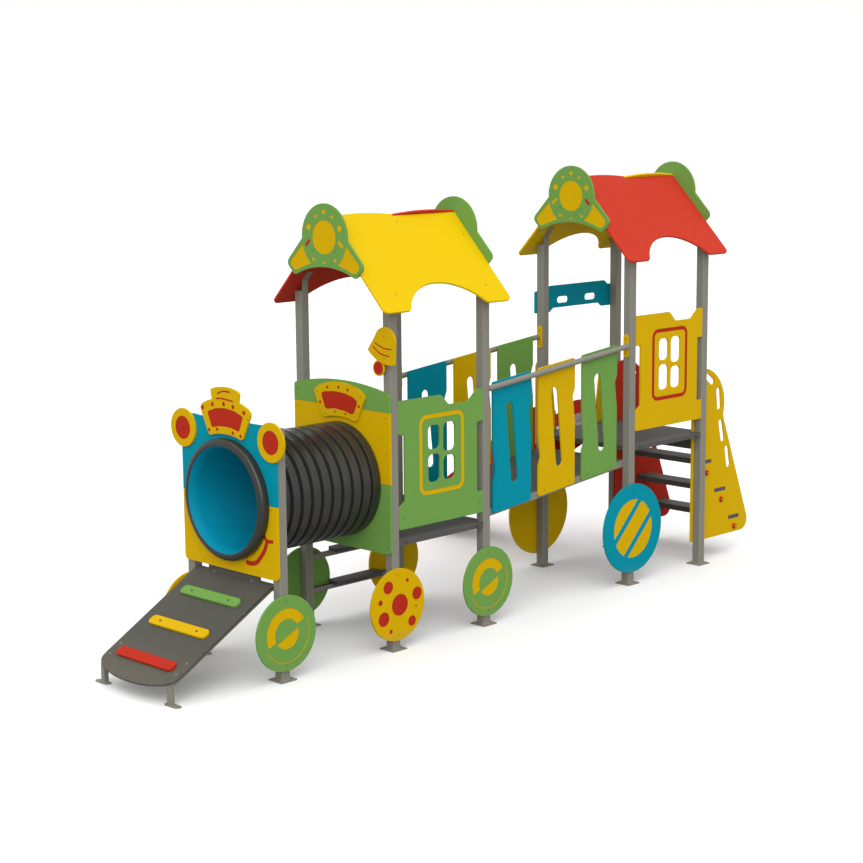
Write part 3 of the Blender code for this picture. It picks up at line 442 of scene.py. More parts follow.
def true_curves(outline):
    """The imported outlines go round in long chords: draw those as fine arcs."""
    straight, corner = 0.006, 0.66    # a bend below or above these isn't part of a curve
    parts = 4             # pieces that one chord is drawn in
    count = len(outline)
    points = [outline[k] for k in range(count)
              if abs(bend(outline[k] - outline[k - 1],
                          outline[(k + 1) % count] - outline[k])) > straight]
    count = len(points)
    legs = [points[(k + 1) % count] - points[k] for k in range(count)]
    turns = [bend(legs[k - 1], legs[k]) for k in range(count)]
    soft = [abs(turn) < corner for turn in turns]
    alike = [soft[k] and 0.84 < legs[k - 1].length / legs[k].length < 1.19 for k in range(count)]
    chord = [alike[k] or alike[(k + 1) % count] for k in range(count)]

    def leaving(k, leg, last):
        """Direction of the true edge at point k, for the leg that starts or ends there."""
        other = k - 1 if leg == k else k
        if not soft[k]:
            swing = turns[(k + 1) % count] / 2 if leg == k else -turns[k - 1] / 2
            return Matrix.Rotation(-swing, 2) @ last
        if not chord[other]:
            return legs[other].normalized()
        return (legs[k - 1].normalized() + legs[k].normalized()).normalized()

    smooth = []
    for k in range(count):
        end = (k + 1) % count
        if not chord[k]:
            smooth.append(points[k])
            continue
        run = legs[k].normalized()
        reach = legs[k].length / 3 * 1.01
        first = points[k] + leaving(k, k, run) * reach
        second = points[end] - leaving(end, k, run) * reach
        arc = geometry.interpolate_bezier(points[k], first, second, points[end], parts + 1)
        smooth += [Vector(point[:2]) for point in arc[:-1]]
    return smooth


def inset(outline, by):
    """The outline moved to its left, into the board."""
    sharpest = 0.3        # keeps the tips of very sharp corners from running away
    count, moved = len(outline), []
    for k in range(count):
        before = (outline[k] - outline[k - 1]).normalized()
        after = (outline[(k + 1) % count] - outline[k]).normalized()
        left, next_left = Vector((-before.y, before.x)), Vector((-after.y, after.x))
        stretch = by / max(sharpest, 1 + left.dot(next_left))
        moved.append(outline[k] + (left + next_left) * stretch)
    return moved


def add_board(mesh, place, outlines, thickness=BOARD, edge=EASED, front=0.0):
    """A board cut to outlines, its front and back edges rounded off."""
    middle = 0.29 * edge  # the middle of a rounded edge lies this far in from both faces
    levels = [(0.0, edge), (middle, middle), (edge, 0.0), (thickness - edge, 0.0),
              (thickness - middle, middle), (thickness, edge)]
    if edge == 0:
        levels = [(0.0, 0.0), (thickness, 0.0)]
    caps = ([], [])
    for outline in outlines:
        rings = []
        for depth, into in levels:
            ring = inset(outline, into) if into else outline
            rings.append([mesh.verts.new(place @ Vector((p.x, p.y, front - depth))) for p in ring])
        count = len(outline)
        for upper, lower in zip(rings, rings[1:]):
            for k in range(count):
                mesh.faces.new((upper[k - 1], lower[k - 1], lower[k], upper[k]))
        for cap, ring in zip(caps, (rings[0], rings[-1])):
            cap += [mesh.edges.get((ring[k - 1], ring[k])) for k in range(count)]
    for cap in caps:
        bmesh.ops.triangle_fill(mesh, use_beauty=True, edges=cap)
    bmesh.ops.recalc_face_normals(mesh, faces=mesh.faces)


def board_from(node, way, up=UP, origin=(0, 0, 0), slots=None):
    """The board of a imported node, cut again with fine curves: returns mesh and placing."""
    way, origin = Vector(way).normalized(), Vector(origin)
    mesh = packed_mesh(node)
    level = max(vertex.co.dot(way) for vertex in mesh.verts)
    origin += way * (level - origin.dot(way))
    place = sheet_place(way, up, origin)
    outlines = [true_curves(outline) for outline in packed_outlines(mesh, place)]
    if slots:
        outlines = [fuller_slot(outline, *slots) for outline in outlines]
    mesh.free()
    board = bmesh.new()
    add_board(board, place, outlines)
    return board, place


def fuller_slot(outline, width, shorter):
    """A long hand slot drawn again with another width; any other outline comes back as it is."""
    # A slot's least length, most area over its length squared, and least area over its length
    shortest, roundest, narrowest = 0.12, 0.6, 0.036
    start, end = max(((p, q) for p in outline for q in outline), key=lambda c: (c[0] - c[1]).length)
    run, long = end - start, (end - start).length
    hole = -sum(p.cross(q) for p, q in zip(outline, outline[1:] + outline[:1])) / 2
    if hole < 0 or long < shortest or hole > roundest * long ** 2 or hole < narrowest * long:
        return outline
    into = run.normalized() * (width + shorter) / 2
    return groove([start + into, end - into], width, 1)[::-1]


def sink(mesh, place, shapes, skin, core):
    """Rout shapes into a board's face: returns the mesh, its floors in the second finish."""
    data = bpy.data.meshes.new("board")
    mesh.to_mesh(data)
    mesh.free()
    board = bpy.data.objects.new("board", data)
    tool_mesh = bmesh.new()
    for shape in shapes:
        loops = shape if isinstance(shape[0], list) else [shape]
        add_board(tool_mesh, place, loops, ROUT + ROUTER_CLEAR, 0, ROUTER_CLEAR)
    for face in tool_mesh.faces:
        face.material_index = 1
    tool_data = bpy.data.meshes.new("router")
    tool_mesh.to_mesh(tool_data)
    tool_mesh.free()
    tool = bpy.data.objects.new("router", tool_data)
    for thing in (board, tool):
        bpy.context.scene.collection.objects.link(thing)
        for material in (skin, core):
            thing.data.materials.append(material)
    cut = board.modifiers.new("rout", "BOOLEAN")
    cut.operation, cut.solver, cut.object = "DIFFERENCE", "EXACT", tool
    cut.use_self = True
    bpy.context.view_layer.update()
    graph = bpy.context.evaluated_depsgraph_get()
    routed = bpy.data.meshes.new_from_object(board.evaluated_get(graph))
    for thing in (board, tool):
        bpy.data.objects.remove(thing)
    return routed


def ring_arc(u, v, radius, start, end, steps=24):
    """Points on a circle from one angle in degrees to another."""
    angles = [math.radians(start + (end - start) * k / steps) for k in range(steps + 1)]
    return [Vector((u + radius * math.cos(a), v + radius * math.sin(a))) for a in angles]


def disc(u, v, radius, steps=40):
    """Points once round a circle."""
    return ring_arc(u, v, radius, 0, 360, steps)[:-1]


def soft_path(points, parts=6):
    """Smooth open line through points."""
    points = [Vector(point) for point in points]
    line = []
    for k in range(len(points) - 1):
        before = points[max(k - 1, 0)]
        after = points[min(k + 2, len(points) - 1)]
        first = points[k] + (points[k + 1] - before) / 6
        second = points[k + 1] - (after - points[k]) / 6
        line += [Vector(p[:2]) for p in geometry.interpolate_bezier(
            points[k], first, second, points[k + 1], parts + 1)[:-1]]
    return line + [points[-1]]


def groove(points, width, parts=6):
    """Outline of a round-ended groove along a smooth line."""
    line = soft_path(points, parts)
    ways = [(line[min(k + 1, len(line) - 1)] - line[max(k - 1, 0)]).normalized()
            for k in range(len(line))]
    lefts = [Vector((-way.y, way.x)) * width / 2 for way in ways]
    heading = math.degrees(math.atan2(ways[-1].y, ways[-1].x))
    tail = math.degrees(math.atan2(-ways[0].y, -ways[0].x))
    outline = [p - left for p, left in zip(line, lefts)][:-1]
    outline += ring_arc(*line[-1], width / 2, heading - 90, heading + 90, 8)
    outline += [p + left for p, left in zip(line, lefts)][-2:0:-1]
    outline += ring_arc(*line[0], width / 2, tail - 90, tail + 90, 8)[:-1]
    return outline


def round_corners(corners):
    """Closed outline through corners (u, v, radius)."""
    handle = 0.55         # of the way to the corner, which makes the bend nearly round
    count, points, parts = len(corners), [], 6
    for k, (u, v, radius) in enumerate(corners):
        here = Vector((u, v))
        before = Vector(corners[k - 1][:2]) - here
        after = Vector(corners[(k + 1) % count][:2]) - here
        reach = min(radius, before.length / 2.05, after.length / 2.05)
        start, end = here + before.normalized() * reach, here + after.normalized() * reach
        if radius <= 0:
            points.append(here)
            continue
        arc = geometry.interpolate_bezier(start, start + (here - start) * handle,
                                          end + (here - end) * handle, end, parts + 1)
        points += [Vector(p[:2]) for p in arc]
    return points


def add_screw_heads(name, place, spots, radius, material, height=0.42):
    """Domed cap screws with a key hole, all those of one board in one piece."""
    mesh, steps = bmesh.new(), 18
    profile = [(1.0, -0.10), (1.0, 0.08), (0.95, 0.45), (0.80, 0.78), (0.58, 0.95), (0.36, 1.0),
               (0.33, 0.55)]      # shares of the radius and of the height; the last is the hole
    for u, v in spots:
        rings = []
        for reach, rise in profile:
            rings.append([mesh.verts.new(place @ Vector((
                u + radius * reach * math.cos(math.tau * k / steps),
                v + radius * reach * math.sin(math.tau * k / steps),
                radius * height * rise))) for k in range(steps)])
        for low, high in zip(rings, rings[1:]):
            for k in range(steps):
                mesh.faces.new((low[k - 1], low[k], high[k], high[k - 1]))
        mesh.faces.new(rings[-1])
        mesh.faces.new(list(reversed(rings[0])))
    return add_piece(name, mesh, [material])


def seen(points):
    """Points measured as (y from the centre line, z) turned to a front board's u and v."""
    return [(-y, z) for y, z in points]


centre_line = (0, mid_y, 0)
SCREW = 0.007             # radius of a board's screw caps
FRONT_SCREWS = [(0.49, 1.30), (0.33, 0.81)]    # in the yellow board; the blue one has one a side
BLUE_SCREW = (0.49, 1.455)
SMILE_WIDE, CHEEK_WIDE = 0.036, 0.028
SMILE = [(-0.20, 0.861), (-0.25, 0.861), (-0.31, 0.881), (-0.37, 0.942), (-0.41, 1.00),
         (-0.43, 1.057)]
CHEEK = [(-0.387, 1.130), (-0.405, 1.085), (-0.433, 1.058), (-0.49, 1.063)]


def both_sides(spots):
    """Screw places (u, v) on the left and then the same ones on the right."""
    return [(side * u, v) for side in (-1, 1) for u, v in spots]


mesh, place = board_from("front_panel_upper", FRONT_WAY, origin=centre_line)
add_piece("blue_front_board", mesh, [BLUE], ["front_panel_upper"])
mesh, place = board_from("front_panel_lower", FRONT_WAY, origin=centre_line)
smile = [groove(seen(SMILE), SMILE_WIDE), groove(seen(CHEEK), CHEEK_WIDE)]
data = sink(mesh, place, smile, YELLOW, RED)
add_piece("yellow_front_board", data, [], ["front_panel_lower"])
add_screw_heads("yellow_front_screws", place, both_sides(FRONT_SCREWS), SCREW, CAPS[YELLOW])
add_screw_heads("blue_front_screws", place, both_sides([BLUE_SCREW]), SCREW, CAPS[BLUE])

# Tunnel: one rib-walled tube of moulded black plastic between the front and the arch boards,
# its bore lined in blue, with a rolled lip screwed on round the mouth.
BLACK = finish("moulded_black", (42, 42, 38), 0.20, 260, 0.0010, scuffs=0.08, soil=0.0,
               fading=0.15, waves=1.2, specular=0.60)
BORE_BLUE = finish("smooth_blue_bore", (0, 140, 168), 0.40, 120, 0.0008, scuffs=0.05, soil=0.0,
                   specular=0.2)
BORE = 0.390              # radius inside the tube
SLEEVE, SLEEVE_FREE = 0.0019, 0.0015   # the lining's thickness, and its way in from the bore
SLEEVE_PAST = 0.0175      # how far the lining reaches beyond the tube, through the arch boards
RIBS, RIB_DEEP = 11, 0.028
RIB = [(0.0, 0.0), (0.12, 0.0), (0.22, 0.90), (0.30, 1.0), (0.56, 0.92), (0.82, 1.0),
       (0.90, 0.90), (1.0, 0.0)]      # share of a rib's length, share of its height
ROUND = 96                # steps round the tube
axis_z = sum(corner.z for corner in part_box("tunnel_tube")) / 2


def turn_profile(mesh, profile, lining=()):
    """A closed (x, radius) profile spun round the tunnel's axis; lining legs get finish two."""
    rings = [[mesh.verts.new((x, mid_y + radius * math.cos(math.tau * k / ROUND),
                              axis_z + radius * math.sin(math.tau * k / ROUND)))
              for k in range(ROUND)] for x, radius in profile]
    for index, (first, second) in enumerate(zip(rings, rings[1:] + rings[:1])):
        for k in range(ROUND):
            face = mesh.faces.new((first[k - 1], second[k - 1], second[k], first[k]))
            face.material_index = int(index in lining)
    bmesh.ops.recalc_face_normals(mesh, faces=mesh.faces)


tube_low, tube_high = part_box("tunnel_tube")
crest = (tube_high.y - tube_low.y) / 2
valley, pitch = crest - RIB_DEEP, (tube_high.x - tube_low.x) / RIBS
rib = [(share, max(0.0, min(1.0, height))) for share, height in soft_path(RIB, 3)[:-1]]
wave = [(tube_low.x + pitch * (count + share), valley + (crest - valley) * height)
        for count in range(RIBS) for share, height in rib] + [(tube_high.x, valley)]
mesh = bmesh.new()
turn_profile(mesh, wave + [(tube_high.x, BORE), (tube_low.x, BORE)], lining=(len(wave),))
add_piece("ribbed_tunnel_tube", mesh, [BLACK, BORE_BLUE], ["tunnel_tube"])

# The lip's and the flare's points are (distance from the front board, radius).
board_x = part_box("tunnel_mouth_ring")[1].x
LIP = [(0.0, 0.4660), (0.030, 0.4655), (0.050, 0.4620), (0.060, 0.4560), (0.0655, 0.4450),
       (0.0700, 0.4300), (0.0715, 0.4200), (0.0690, 0.4115), (0.055, 0.4095), (0.0, 0.3960)]
mesh = bmesh.new()
turn_profile(mesh, [(board_x - depth, radius) for depth, radius in soft_path(LIP, 4)])
add_piece("rolled_mouth_lip", mesh, [BLACK], ["tunnel_mouth_ring"])
# Thin blue sleeve right through, flared at the mouth, so that no joint shows inside.
FLARE = [(0.066, 0.4090), (0.045, 0.4030), (0.015, 0.3950), (-0.020, BORE - SLEEVE_FREE)]
sleeve = [(board_x - depth, radius) for depth, radius in FLARE]
sleeve.append((tube_high.x + SLEEVE_PAST, BORE - SLEEVE_FREE))
mesh = bmesh.new()
turn_profile(mesh, sleeve + [(x, radius + SLEEVE) for x, radius in reversed(sleeve)])
add_piece("bore_sleeve", mesh, [BORE_BLUE])

# Headlamps: two discs of yellow sheet over the front board's upper corners, with a red disc sunk
# in each. One screw in the middle holds each lamp.
LAMP, LAMP_RED = 0.149, 0.090     # radii
LAMP_SCREW = 0.006
for side in ("near", "far"):
    low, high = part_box(f"headlamp_{side}")
    middle = (low + high) / 2
    place = sheet_place(FRONT_WAY, UP, (low.x, middle.y, middle.z))
    mesh = bmesh.new()
    add_board(mesh, place, [disc(0, 0, LAMP, 72)])
    data = sink(mesh, place, [disc(0, 0, LAMP_RED, 48)], YELLOW, RED)
    add_piece(f"yellow_headlamp_{side}", data, [], [f"headlamp_{side}"])
    add_screw_heads(f"headlamp_screw_{side}", place, [(0, 0)], LAMP_SCREW, CAPS[RED])

# Crown: an arched board of yellow sheet with a small chimney, over the front board. A red field,
# red dots and two grooves are sunk in it; one screw at each end holds it.
SIGN_CORNER, SIGN_GROOVE, SIGN_SCREW = 0.014, 0.012, 0.006
# Dots by their radius. Places on a sign are (y from the centre line, z), its screws' (u, v).
CROWN_DOTS = {0.017: [(0.265, 1.990), (0.147, 2.025), (0.013, 2.039), (-0.095, 2.028),
                      (-0.220, 1.996)],
              0.014: [(0.194, 1.826), (0.097, 1.840), (-0.087, 1.831), (-0.176, 1.817)]}
CROWN_FIELD = [(0.210, 1.965), (0.110, 2.000), (0.0, 2.010), (-0.110, 2.000), (-0.210, 1.965),
               (-0.160, 1.848), (-0.080, 1.865), (0.0, 1.870), (0.080, 1.865), (0.160, 1.848)]
CROWN_GROOVES = [[(0.084, 2.111), (0.040, 2.130), (-0.007, 2.137), (-0.059, 2.135)],
                 [(0.099, 2.072), (0.060, 2.078), (0.013, 2.078), (-0.094, 2.070)]]
CROWN_SCREW = (0.262, 1.952)


def sign_board(node, name, dots, field, grooves=()):
    """Arched sign with a sunk red field, red dots and a few grooves."""
    mesh, place = board_from(node, FRONT_WAY, origin=centre_line)
    shapes = [disc(u, v, radius, 24) for radius, spots in dots.items() for u, v in seen(spots)]
    shapes.append(round_corners([(u, v, SIGN_CORNER) for u, v in seen(field)]))
    shapes += [groove(seen(line), SIGN_GROOVE) for line in grooves]
    data = sink(mesh, place, shapes, YELLOW, RED)
    add_piece(name, data, [], [node])
    return place


place = sign_board("crown_plate", "yellow_crown", CROWN_DOTS, CROWN_FIELD, CROWN_GROOVES)
add_screw_heads("crown_screws", place, both_sides([CROWN_SCREW]), SIGN_SCREW, CAPS[YELLOW])

# Arch boards: three boards of coloured sheet across the front of posts 2, cut out for the
# tunnel's other end and screwed to the posts. A badge of yellow sheet goes on the top one.
ARCH_SCREW_OUT = 0.515
for node, name, skin, slot in (("arch_board_low", "green_arch_foot", GREEN, "green_board"),
                               ("arch_board_middle", "yellow_arch_sides", YELLOW, "yellow_board"),
                               ("arch_board_top", "green_arch_head", GREEN, "green_board")):
    mesh, place = board_from(node, FRONT_WAY, origin=centre_line)
    add_piece(name, mesh, [skin], [node])
for colour, cap, levels in (("green", CAPS[GREEN], (0.83, 1.10, 1.99)),
                            ("yellow", CAPS[YELLOW], (1.27, 1.57, 1.85))):
    add_screw_heads(f"arch_screws_{colour}", place,
                    both_sides([(ARCH_SCREW_OUT, z) for z in levels]), SCREW, cap)
BADGE_DOTS = {0.013: [(0.137, 2.031), (0.005, 2.043), (-0.101, 2.031), (0.223, 1.904),
                      (-0.228, 1.911)],
              0.010: [(0.051, 1.845), (-0.071, 1.838)]}
BADGE_FIELD = [(0.209, 1.974), (0.186, 1.992), (0.070, 2.007), (-0.055, 2.003), (-0.158, 1.981),
               (-0.210, 1.952), (-0.206, 1.924), (-0.165, 1.846), (-0.138, 1.841),
               (-0.052, 1.862), (0.052, 1.869), (0.147, 1.857), (0.166, 1.864)]
BADGE_SCREWS = [(-0.250, 1.988), (0.250, 1.988), (-0.175, 1.824), (0.175, 1.824)]
place = sign_board("arch_badge", "yellow_badge", BADGE_DOTS, BADGE_FIELD)
add_screw_heads("badge_screws", place, BADGE_SCREWS, SIGN_SCREW, CAPS[YELLOW])

# Bell: a yellow bell board held off near post 2 by two spacers, with grooves round its shoulder
# and a separate clapper disc under its lip, a red disc sunk in it.
BELL_LEAN = math.radians(19.2)
BELL_HALF, BELL_NECK, BELL_TOP = 0.158, 0.105, 0.190
BELL_OUT, BELL_Z = 0.476, 2.317        # middle of its lip: from the centre line, and level
CLAPPER, CLAPPER_RIM = 0.0625, 0.011   # radius, and the yellow left round its red disc
CLAPPER_OUT, CLAPPER_Z, CLAPPER_BACK = 0.444, 2.233, 0.004
SPACER, SPACER_OUT, SPACER_LEVELS = 0.014, 0.5145, (2.485, 2.318)
SPACER_IN, SPACER_EASED = 0.001, 0.001 # how far a spacer sits in the board, and its eased edge
BELL_GROOVE = 0.011
SPACER_STEEL = finish("coated_screw", (104, 102, 90), 0.5, 1500, 0.0002, metallic=0.2)
bell_low, bell_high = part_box("bell")
bell_front = bell_low.x + 0.0002
bell_up = Vector((0, -math.sin(BELL_LEAN), math.cos(BELL_LEAN)))
place = sheet_place(FRONT_WAY, bell_up, (bell_front, mid_y - BELL_OUT, BELL_Z))
bell_outline = round_corners([
    (-BELL_HALF, 0, 0.014), (-0.080, -0.031, 0.05), (0, -0.040, 0.05), (0.080, -0.031, 0.05),
    (BELL_HALF, 0, 0.014), (0.117, 0.130, 0.06), (BELL_NECK, BELL_TOP, 0.02),
    (0.055, BELL_TOP + 0.048, 0.04), (0, BELL_TOP + 0.062, 0.04), (-0.055, BELL_TOP + 0.048, 0.04),
    (-BELL_NECK, BELL_TOP, 0.02), (-0.117, 0.130, 0.06)])
mesh = bmesh.new()
add_board(mesh, place, [bell_outline])
BELL_GROOVES = [[(-0.413, 2.428), (-0.509, 2.393), (-0.593, 2.390)],
                [(-0.390, 2.401), (-0.468, 2.350), (-0.567, 2.333)]]
flat = place.inverted()
lines = [groove([(flat @ Vector((bell_front, mid_y + y, z))).xy for y, z in line], BELL_GROOVE)
         for line in BELL_GROOVES]
data = sink(mesh, place, lines, YELLOW, RED)
add_piece("yellow_bell", data, [], ["bell"])
mesh = bmesh.new()
clapper_place = sheet_place(FRONT_WAY, UP, (bell_front + CLAPPER_BACK, mid_y - CLAPPER_OUT,
                                            CLAPPER_Z))
add_board(mesh, clapper_place, [disc(0, 0, CLAPPER, 48)], BOARD - CLAPPER_BACK)
data = sink(mesh, clapper_place, [disc(0, 0, CLAPPER - CLAPPER_RIM, 40)], YELLOW, RED)
add_piece("bell_clapper_disc", data, [])
mesh = bmesh.new()
for z in SPACER_LEVELS:
    stem = sheet_place(FRONT_WAY, UP, (bell_front + BOARD - SPACER_IN, mid_y - SPACER_OUT, z))
    add_board(mesh, stem, [disc(0, 0, SPACER, 24)], bell_high.x - bell_front - BOARD + SPACER_IN,
              SPACER_EASED)
add_piece("bell_spacers", mesh, [SPACER_STEEL])
add_screw_heads("bell_screws", sheet_place(FRONT_WAY, UP, (bell_front, mid_y, 0)),
                [(SPACER_OUT, z) for z in SPACER_LEVELS], SCREW, CAPS[YELLOW])

# Window panels: a green and a yellow board between the near posts, four lights cut through and a
# ring groove round them. Lugs at their corners are screwed to brackets on the posts.
WINDOW_RING = (-0.249, 0.238, 0.256, 0.880, 0.075)    # left, low, right, high, corners' radius
WINDOW_GROOVE = 0.034
WINDOW_SCREW_IN, WINDOW_SCREW_LEVELS = 0.045, (0.089, 0.756)
BRACKET_IN, BRACKET_LEVELS = 0.022, (0.092, 0.880)
BRACKET = (-0.020, -0.035, 0.020, 0.035, 0.006)
BRACKET_THICK, BRACKET_EASED = 0.004, 0.0008


def soft_rectangle(left, low, right, high, radius):
    """Rectangle with rounded corners."""
    return round_corners([(left, low, radius), (right, low, radius), (right, high, radius),
                          (left, high, radius)])


for node, name, skin, core, slot in (
        ("window_panel_front", "green_window_board", GREEN, YELLOW, "green_board"),
        ("window_panel_rear", "yellow_window_board", YELLOW, RED, "yellow_board")):
    low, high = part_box(node)
    middle, half = (low.x + high.x) / 2, (high.x - low.x) / 2
    mesh, place = board_from(node, NEAR_WAY, origin=(middle, 0, low.z))
    outer = soft_rectangle(*WINDOW_RING)
    data = sink(mesh, place, [[outer, inset(outer, WINDOW_GROOVE)[::-1]]], skin, core)
    add_piece(name, data, [], [node])
    spots = both_sides([(half - WINDOW_SCREW_IN, v) for v in WINDOW_SCREW_LEVELS])
    add_screw_heads(f"{name}_screws", place, spots, SCREW, CAPS[skin])
    brackets = bmesh.new()
    for out, v in both_sides([(half - BRACKET_IN, v) for v in BRACKET_LEVELS]):
        lug = sheet_place(NEAR_WAY, UP, (middle + out, high.y, low.z + v))
        add_board(brackets, lug, [soft_rectangle(*BRACKET)], BRACKET_THICK, BRACKET_EASED)
    add_piece(f"{name}_brackets", brackets, [POST_STEEL])

# Roofs: two boards of yellow or red sheet to a cabin, with a bowed eave. They are screwed down on
# the posts' brackets and lap along the ridge, each over one half of it.
# The roof sheets are the walls' yellow and red made lighter, and so are their screw caps. This is
# painted light, standing in for the stronger light that falls on the roofs' upper faces.
ROOF_YELLOW_PAINTED_LIT = sheet_plastic("yellow_sheet_painted_lit", (220, 184, 9))
ROOF_RED_PAINTED_LIT = sheet_plastic("red_sheet_painted_lit", (190, 56, 38))
ROOF_SCREW = 0.008
ROOF_SPOTS = [(0.002, 0.871), (0.638, 0.695), (-0.638, 0.695), (-0.48, 0.165), (0.519, 0.166)]
for cabin in ("front", "rear"):
    for side in ("near", "far"):
        node = f"{cabin}_roof_{side}"
        low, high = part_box(node)
        mesh = packed_mesh(node)
        broad = max(mesh.faces, key=lambda face: face.calc_area() if face.normal.z > 0.1 else 0)
        outward = broad.normal.copy()
        mesh.free()
        upslope = Vector((0, -outward.y * outward.z, outward.y ** 2)) * (1 / abs(outward.y))
        middle = ((low.x + high.x) / 2, 0, 0)
        mesh, place = board_from(node, outward, upslope, middle)
        red = (cabin == "front") == (side == "far")
        skin, slot = (ROOF_RED_PAINTED_LIT, "red_board") if red else (ROOF_YELLOW_PAINTED_LIT, "yellow_board")
        eave = min((place.inverted() @ vertex.co).y for vertex in mesh.verts)
        add_piece(f"{cabin}_{side}_roof_board", mesh, [skin], [node])
        add_screw_heads(f"{cabin}_{side}_roof_screws", place,
                        [(u, eave + v) for u, v in ROOF_SPOTS], ROOF_SCREW, CAPS[skin])

# Gable boards: green sheet with two wings and a round head, screwed under both ends of each roof.
# The fore ones carry sunk yellow ornament: a disc, dots, wing tips and one bar beside a red one.
BACK_WAY = Vector((1, 0, 0))
GABLE_HEAD = 0.112        # from the board's top to the middle of its head, where v is 0
GABLE_DISC = (-0.148, 0.132)      # v of its middle, radius
GABLE_DOTS = [(0.0, 0.049, 0.019), (0.094, 0.013, 0.014), (-0.094, 0.013, 0.014),
              (0.177, -0.073, 0.025), (-0.177, -0.073, 0.025), (0.124, -0.321, 0.015),
              (-0.124, -0.321, 0.015), (0.0, -0.344, 0.012)]
GABLE_WING = [(p.x, p.y, 0) for p in ring_arc(0, GABLE_DISC[0], 0.258, -54, -14, 10)]
GABLE_WING += [(0.408, -0.358, 0.035), (0.352, -0.424, 0.030), (0.250, -0.386, 0.060)]
GABLE_BAR = [(0.206, -0.214), (0.172, -0.180)]
GABLE_BAR_WIDE = 0.026
GABLE_SCREW = (0.125, -0.254)
RED_BAR, RED_BAR_PROUD = 0.0014, 0.0006    # its thickness, and how far it stands out
for cabin in ("front", "rear"):
    for end, way in (("fore", FRONT_WAY), ("aft", BACK_WAY)):
        node = f"{cabin}_cabin_gable_{end}"
        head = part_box(node)[1].z - GABLE_HEAD
        mesh, place = board_from(node, way, origin=(0, mid_y, head))
        add_screw_heads(f"{node}_screws", place, both_sides([GABLE_SCREW]), SIGN_SCREW,
                        CAPS[GREEN])
        if end == "aft":
            add_piece(f"green_{node}", mesh, [GREEN], [node])
            continue
        flip = 1 if cabin == "front" else -1
        yellow = [disc(0, GABLE_DISC[0], GABLE_DISC[1], 56)]
        yellow += [disc(u, v, radius, 20) for u, v, radius in GABLE_DOTS]
        yellow.append(groove([(flip * u, v) for u, v in GABLE_BAR], GABLE_BAR_WIDE, 1))
        yellow += [round_corners([(side * u, v, r) for u, v, r in GABLE_WING][::-side])
                   for side in (-1, 1)]
        data = sink(mesh, place, yellow, GREEN, YELLOW)
        add_piece(f"green_{node}", data, [], [node])
        mark = bmesh.new()
        add_board(mark, place, [groove([(-flip * u, v) for u, v in GABLE_BAR], GABLE_BAR_WIDE, 1)],
                  RED_BAR, 0, RED_BAR_PROUD)
        add_piece(f"{node}_mark", mark, [RED])

# Bridge sides: six boards of coloured sheet, three a side, with a leaning hand slot in each. They
# are screwed to the floor's rails at the foot and to the handrails at the top.
BRIDGE_SKINS = {"blue": BLUE, "yellow": YELLOW, "green": GREEN}
BRIDGE_SLOT = (0.085, 0.014)      # width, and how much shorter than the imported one
BRIDGE_SLOPE = 0.102
BRIDGE_SCREW_SHARES, BRIDGE_SCREW_IN = (0.16, 0.84), 0.035
for side, way in (("near", NEAR_WAY), ("far", FAR_WAY)):
    for colour, skin in BRIDGE_SKINS.items():
        spots = []
        node = f"bridge_board_{side}_{colour}"
        mesh, place = board_from(node, way, slots=BRIDGE_SLOT)
        add_piece(f"{colour}_bridge_board_{side}", mesh, [skin], [node])
        low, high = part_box(node)
        wide = high.x - low.x
        for share in BRIDGE_SCREW_SHARES:
            u = -way.y * (low.x + share * wide)
            spots.append((u, low.z + BRIDGE_SCREW_IN + BRIDGE_SLOPE * share * wide))
            spots.append((u, high.z - BRIDGE_SCREW_IN - BRIDGE_SLOPE * (1 - share) * wide))
        add_screw_heads(f"{node}_screws", place, spots, SCREW, CAPS[skin])

# Handrails: two round steel tubes along the bridge, sloping with it and coated like the posts.
# Oblong yellow plates with two screws each hold their ends to posts 2 and 3.
HANDRAIL = 0.048
HANDRAIL_OUT, HANDRAIL_PLATE_OUT = 0.5243, 0.50375    # tube's and plates' middle, from the centre
RAIL_Z = 1.955            # level of the tube's fore end
RAIL_STEPS = 48
RAIL_PLATE, RAIL_PLATE_WIDE, RAIL_PLATE_REACH = 0.008, 0.057, 0.0745
RAIL_PLATE_EASED = 0.001
RAIL_END = 0.006          # the tube stops this far from the posts, inside its plates
RAIL_SCREW, RAIL_SCREW_REACH = 0.009, 0.066
for side, way in (("near", -1), ("far", 1)):
    node = f"handrail_{side}"
    low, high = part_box(node)
    plates, mesh = bmesh.new(), bmesh.new()
    for x, plate_way, end in ((low.x, BACK_WAY, "fore"), (high.x, FRONT_WAY, "aft")):
        level = RAIL_Z + BRIDGE_SLOPE * (x - low.x)
        place = sheet_place(plate_way, UP, (x + RAIL_PLATE * plate_way.x,
                                            mid_y + way * HANDRAIL_PLATE_OUT, level))
        oblong = groove([(0, -RAIL_PLATE_REACH), (0, RAIL_PLATE_REACH)], RAIL_PLATE_WIDE, 1)
        add_board(plates, place, [oblong], RAIL_PLATE, RAIL_PLATE_EASED)
        add_screw_heads(f"{node}_screws_{end}", place,
                        [(0, -RAIL_SCREW_REACH), (0, RAIL_SCREW_REACH)], RAIL_SCREW,
                        CAPS[YELLOW])
    rings = []
    for x in (low.x + RAIL_END, high.x - RAIL_END):
        centre = Vector((x, mid_y + way * HANDRAIL_OUT, RAIL_Z + BRIDGE_SLOPE * (x - low.x)))
        angles = [math.tau * k / RAIL_STEPS for k in range(RAIL_STEPS)]
        rings.append([mesh.verts.new(centre + Vector((0, math.cos(angle), math.sin(angle)))
                                     * HANDRAIL / 2) for angle in angles])
    for k in range(RAIL_STEPS):
        mesh.faces.new((rings[0][k - 1], rings[0][k], rings[1][k], rings[1][k - 1]))
    mesh.faces.new(rings[0])
    mesh.faces.new(rings[1])
    bmesh.ops.recalc_face_normals(mesh, faces=mesh.faces)
    add_piece(f"round_handrail_{side}", mesh, [POST_STEEL], [node])
    add_piece(f"handrail_plates_{side}", plates, [YELLOW])

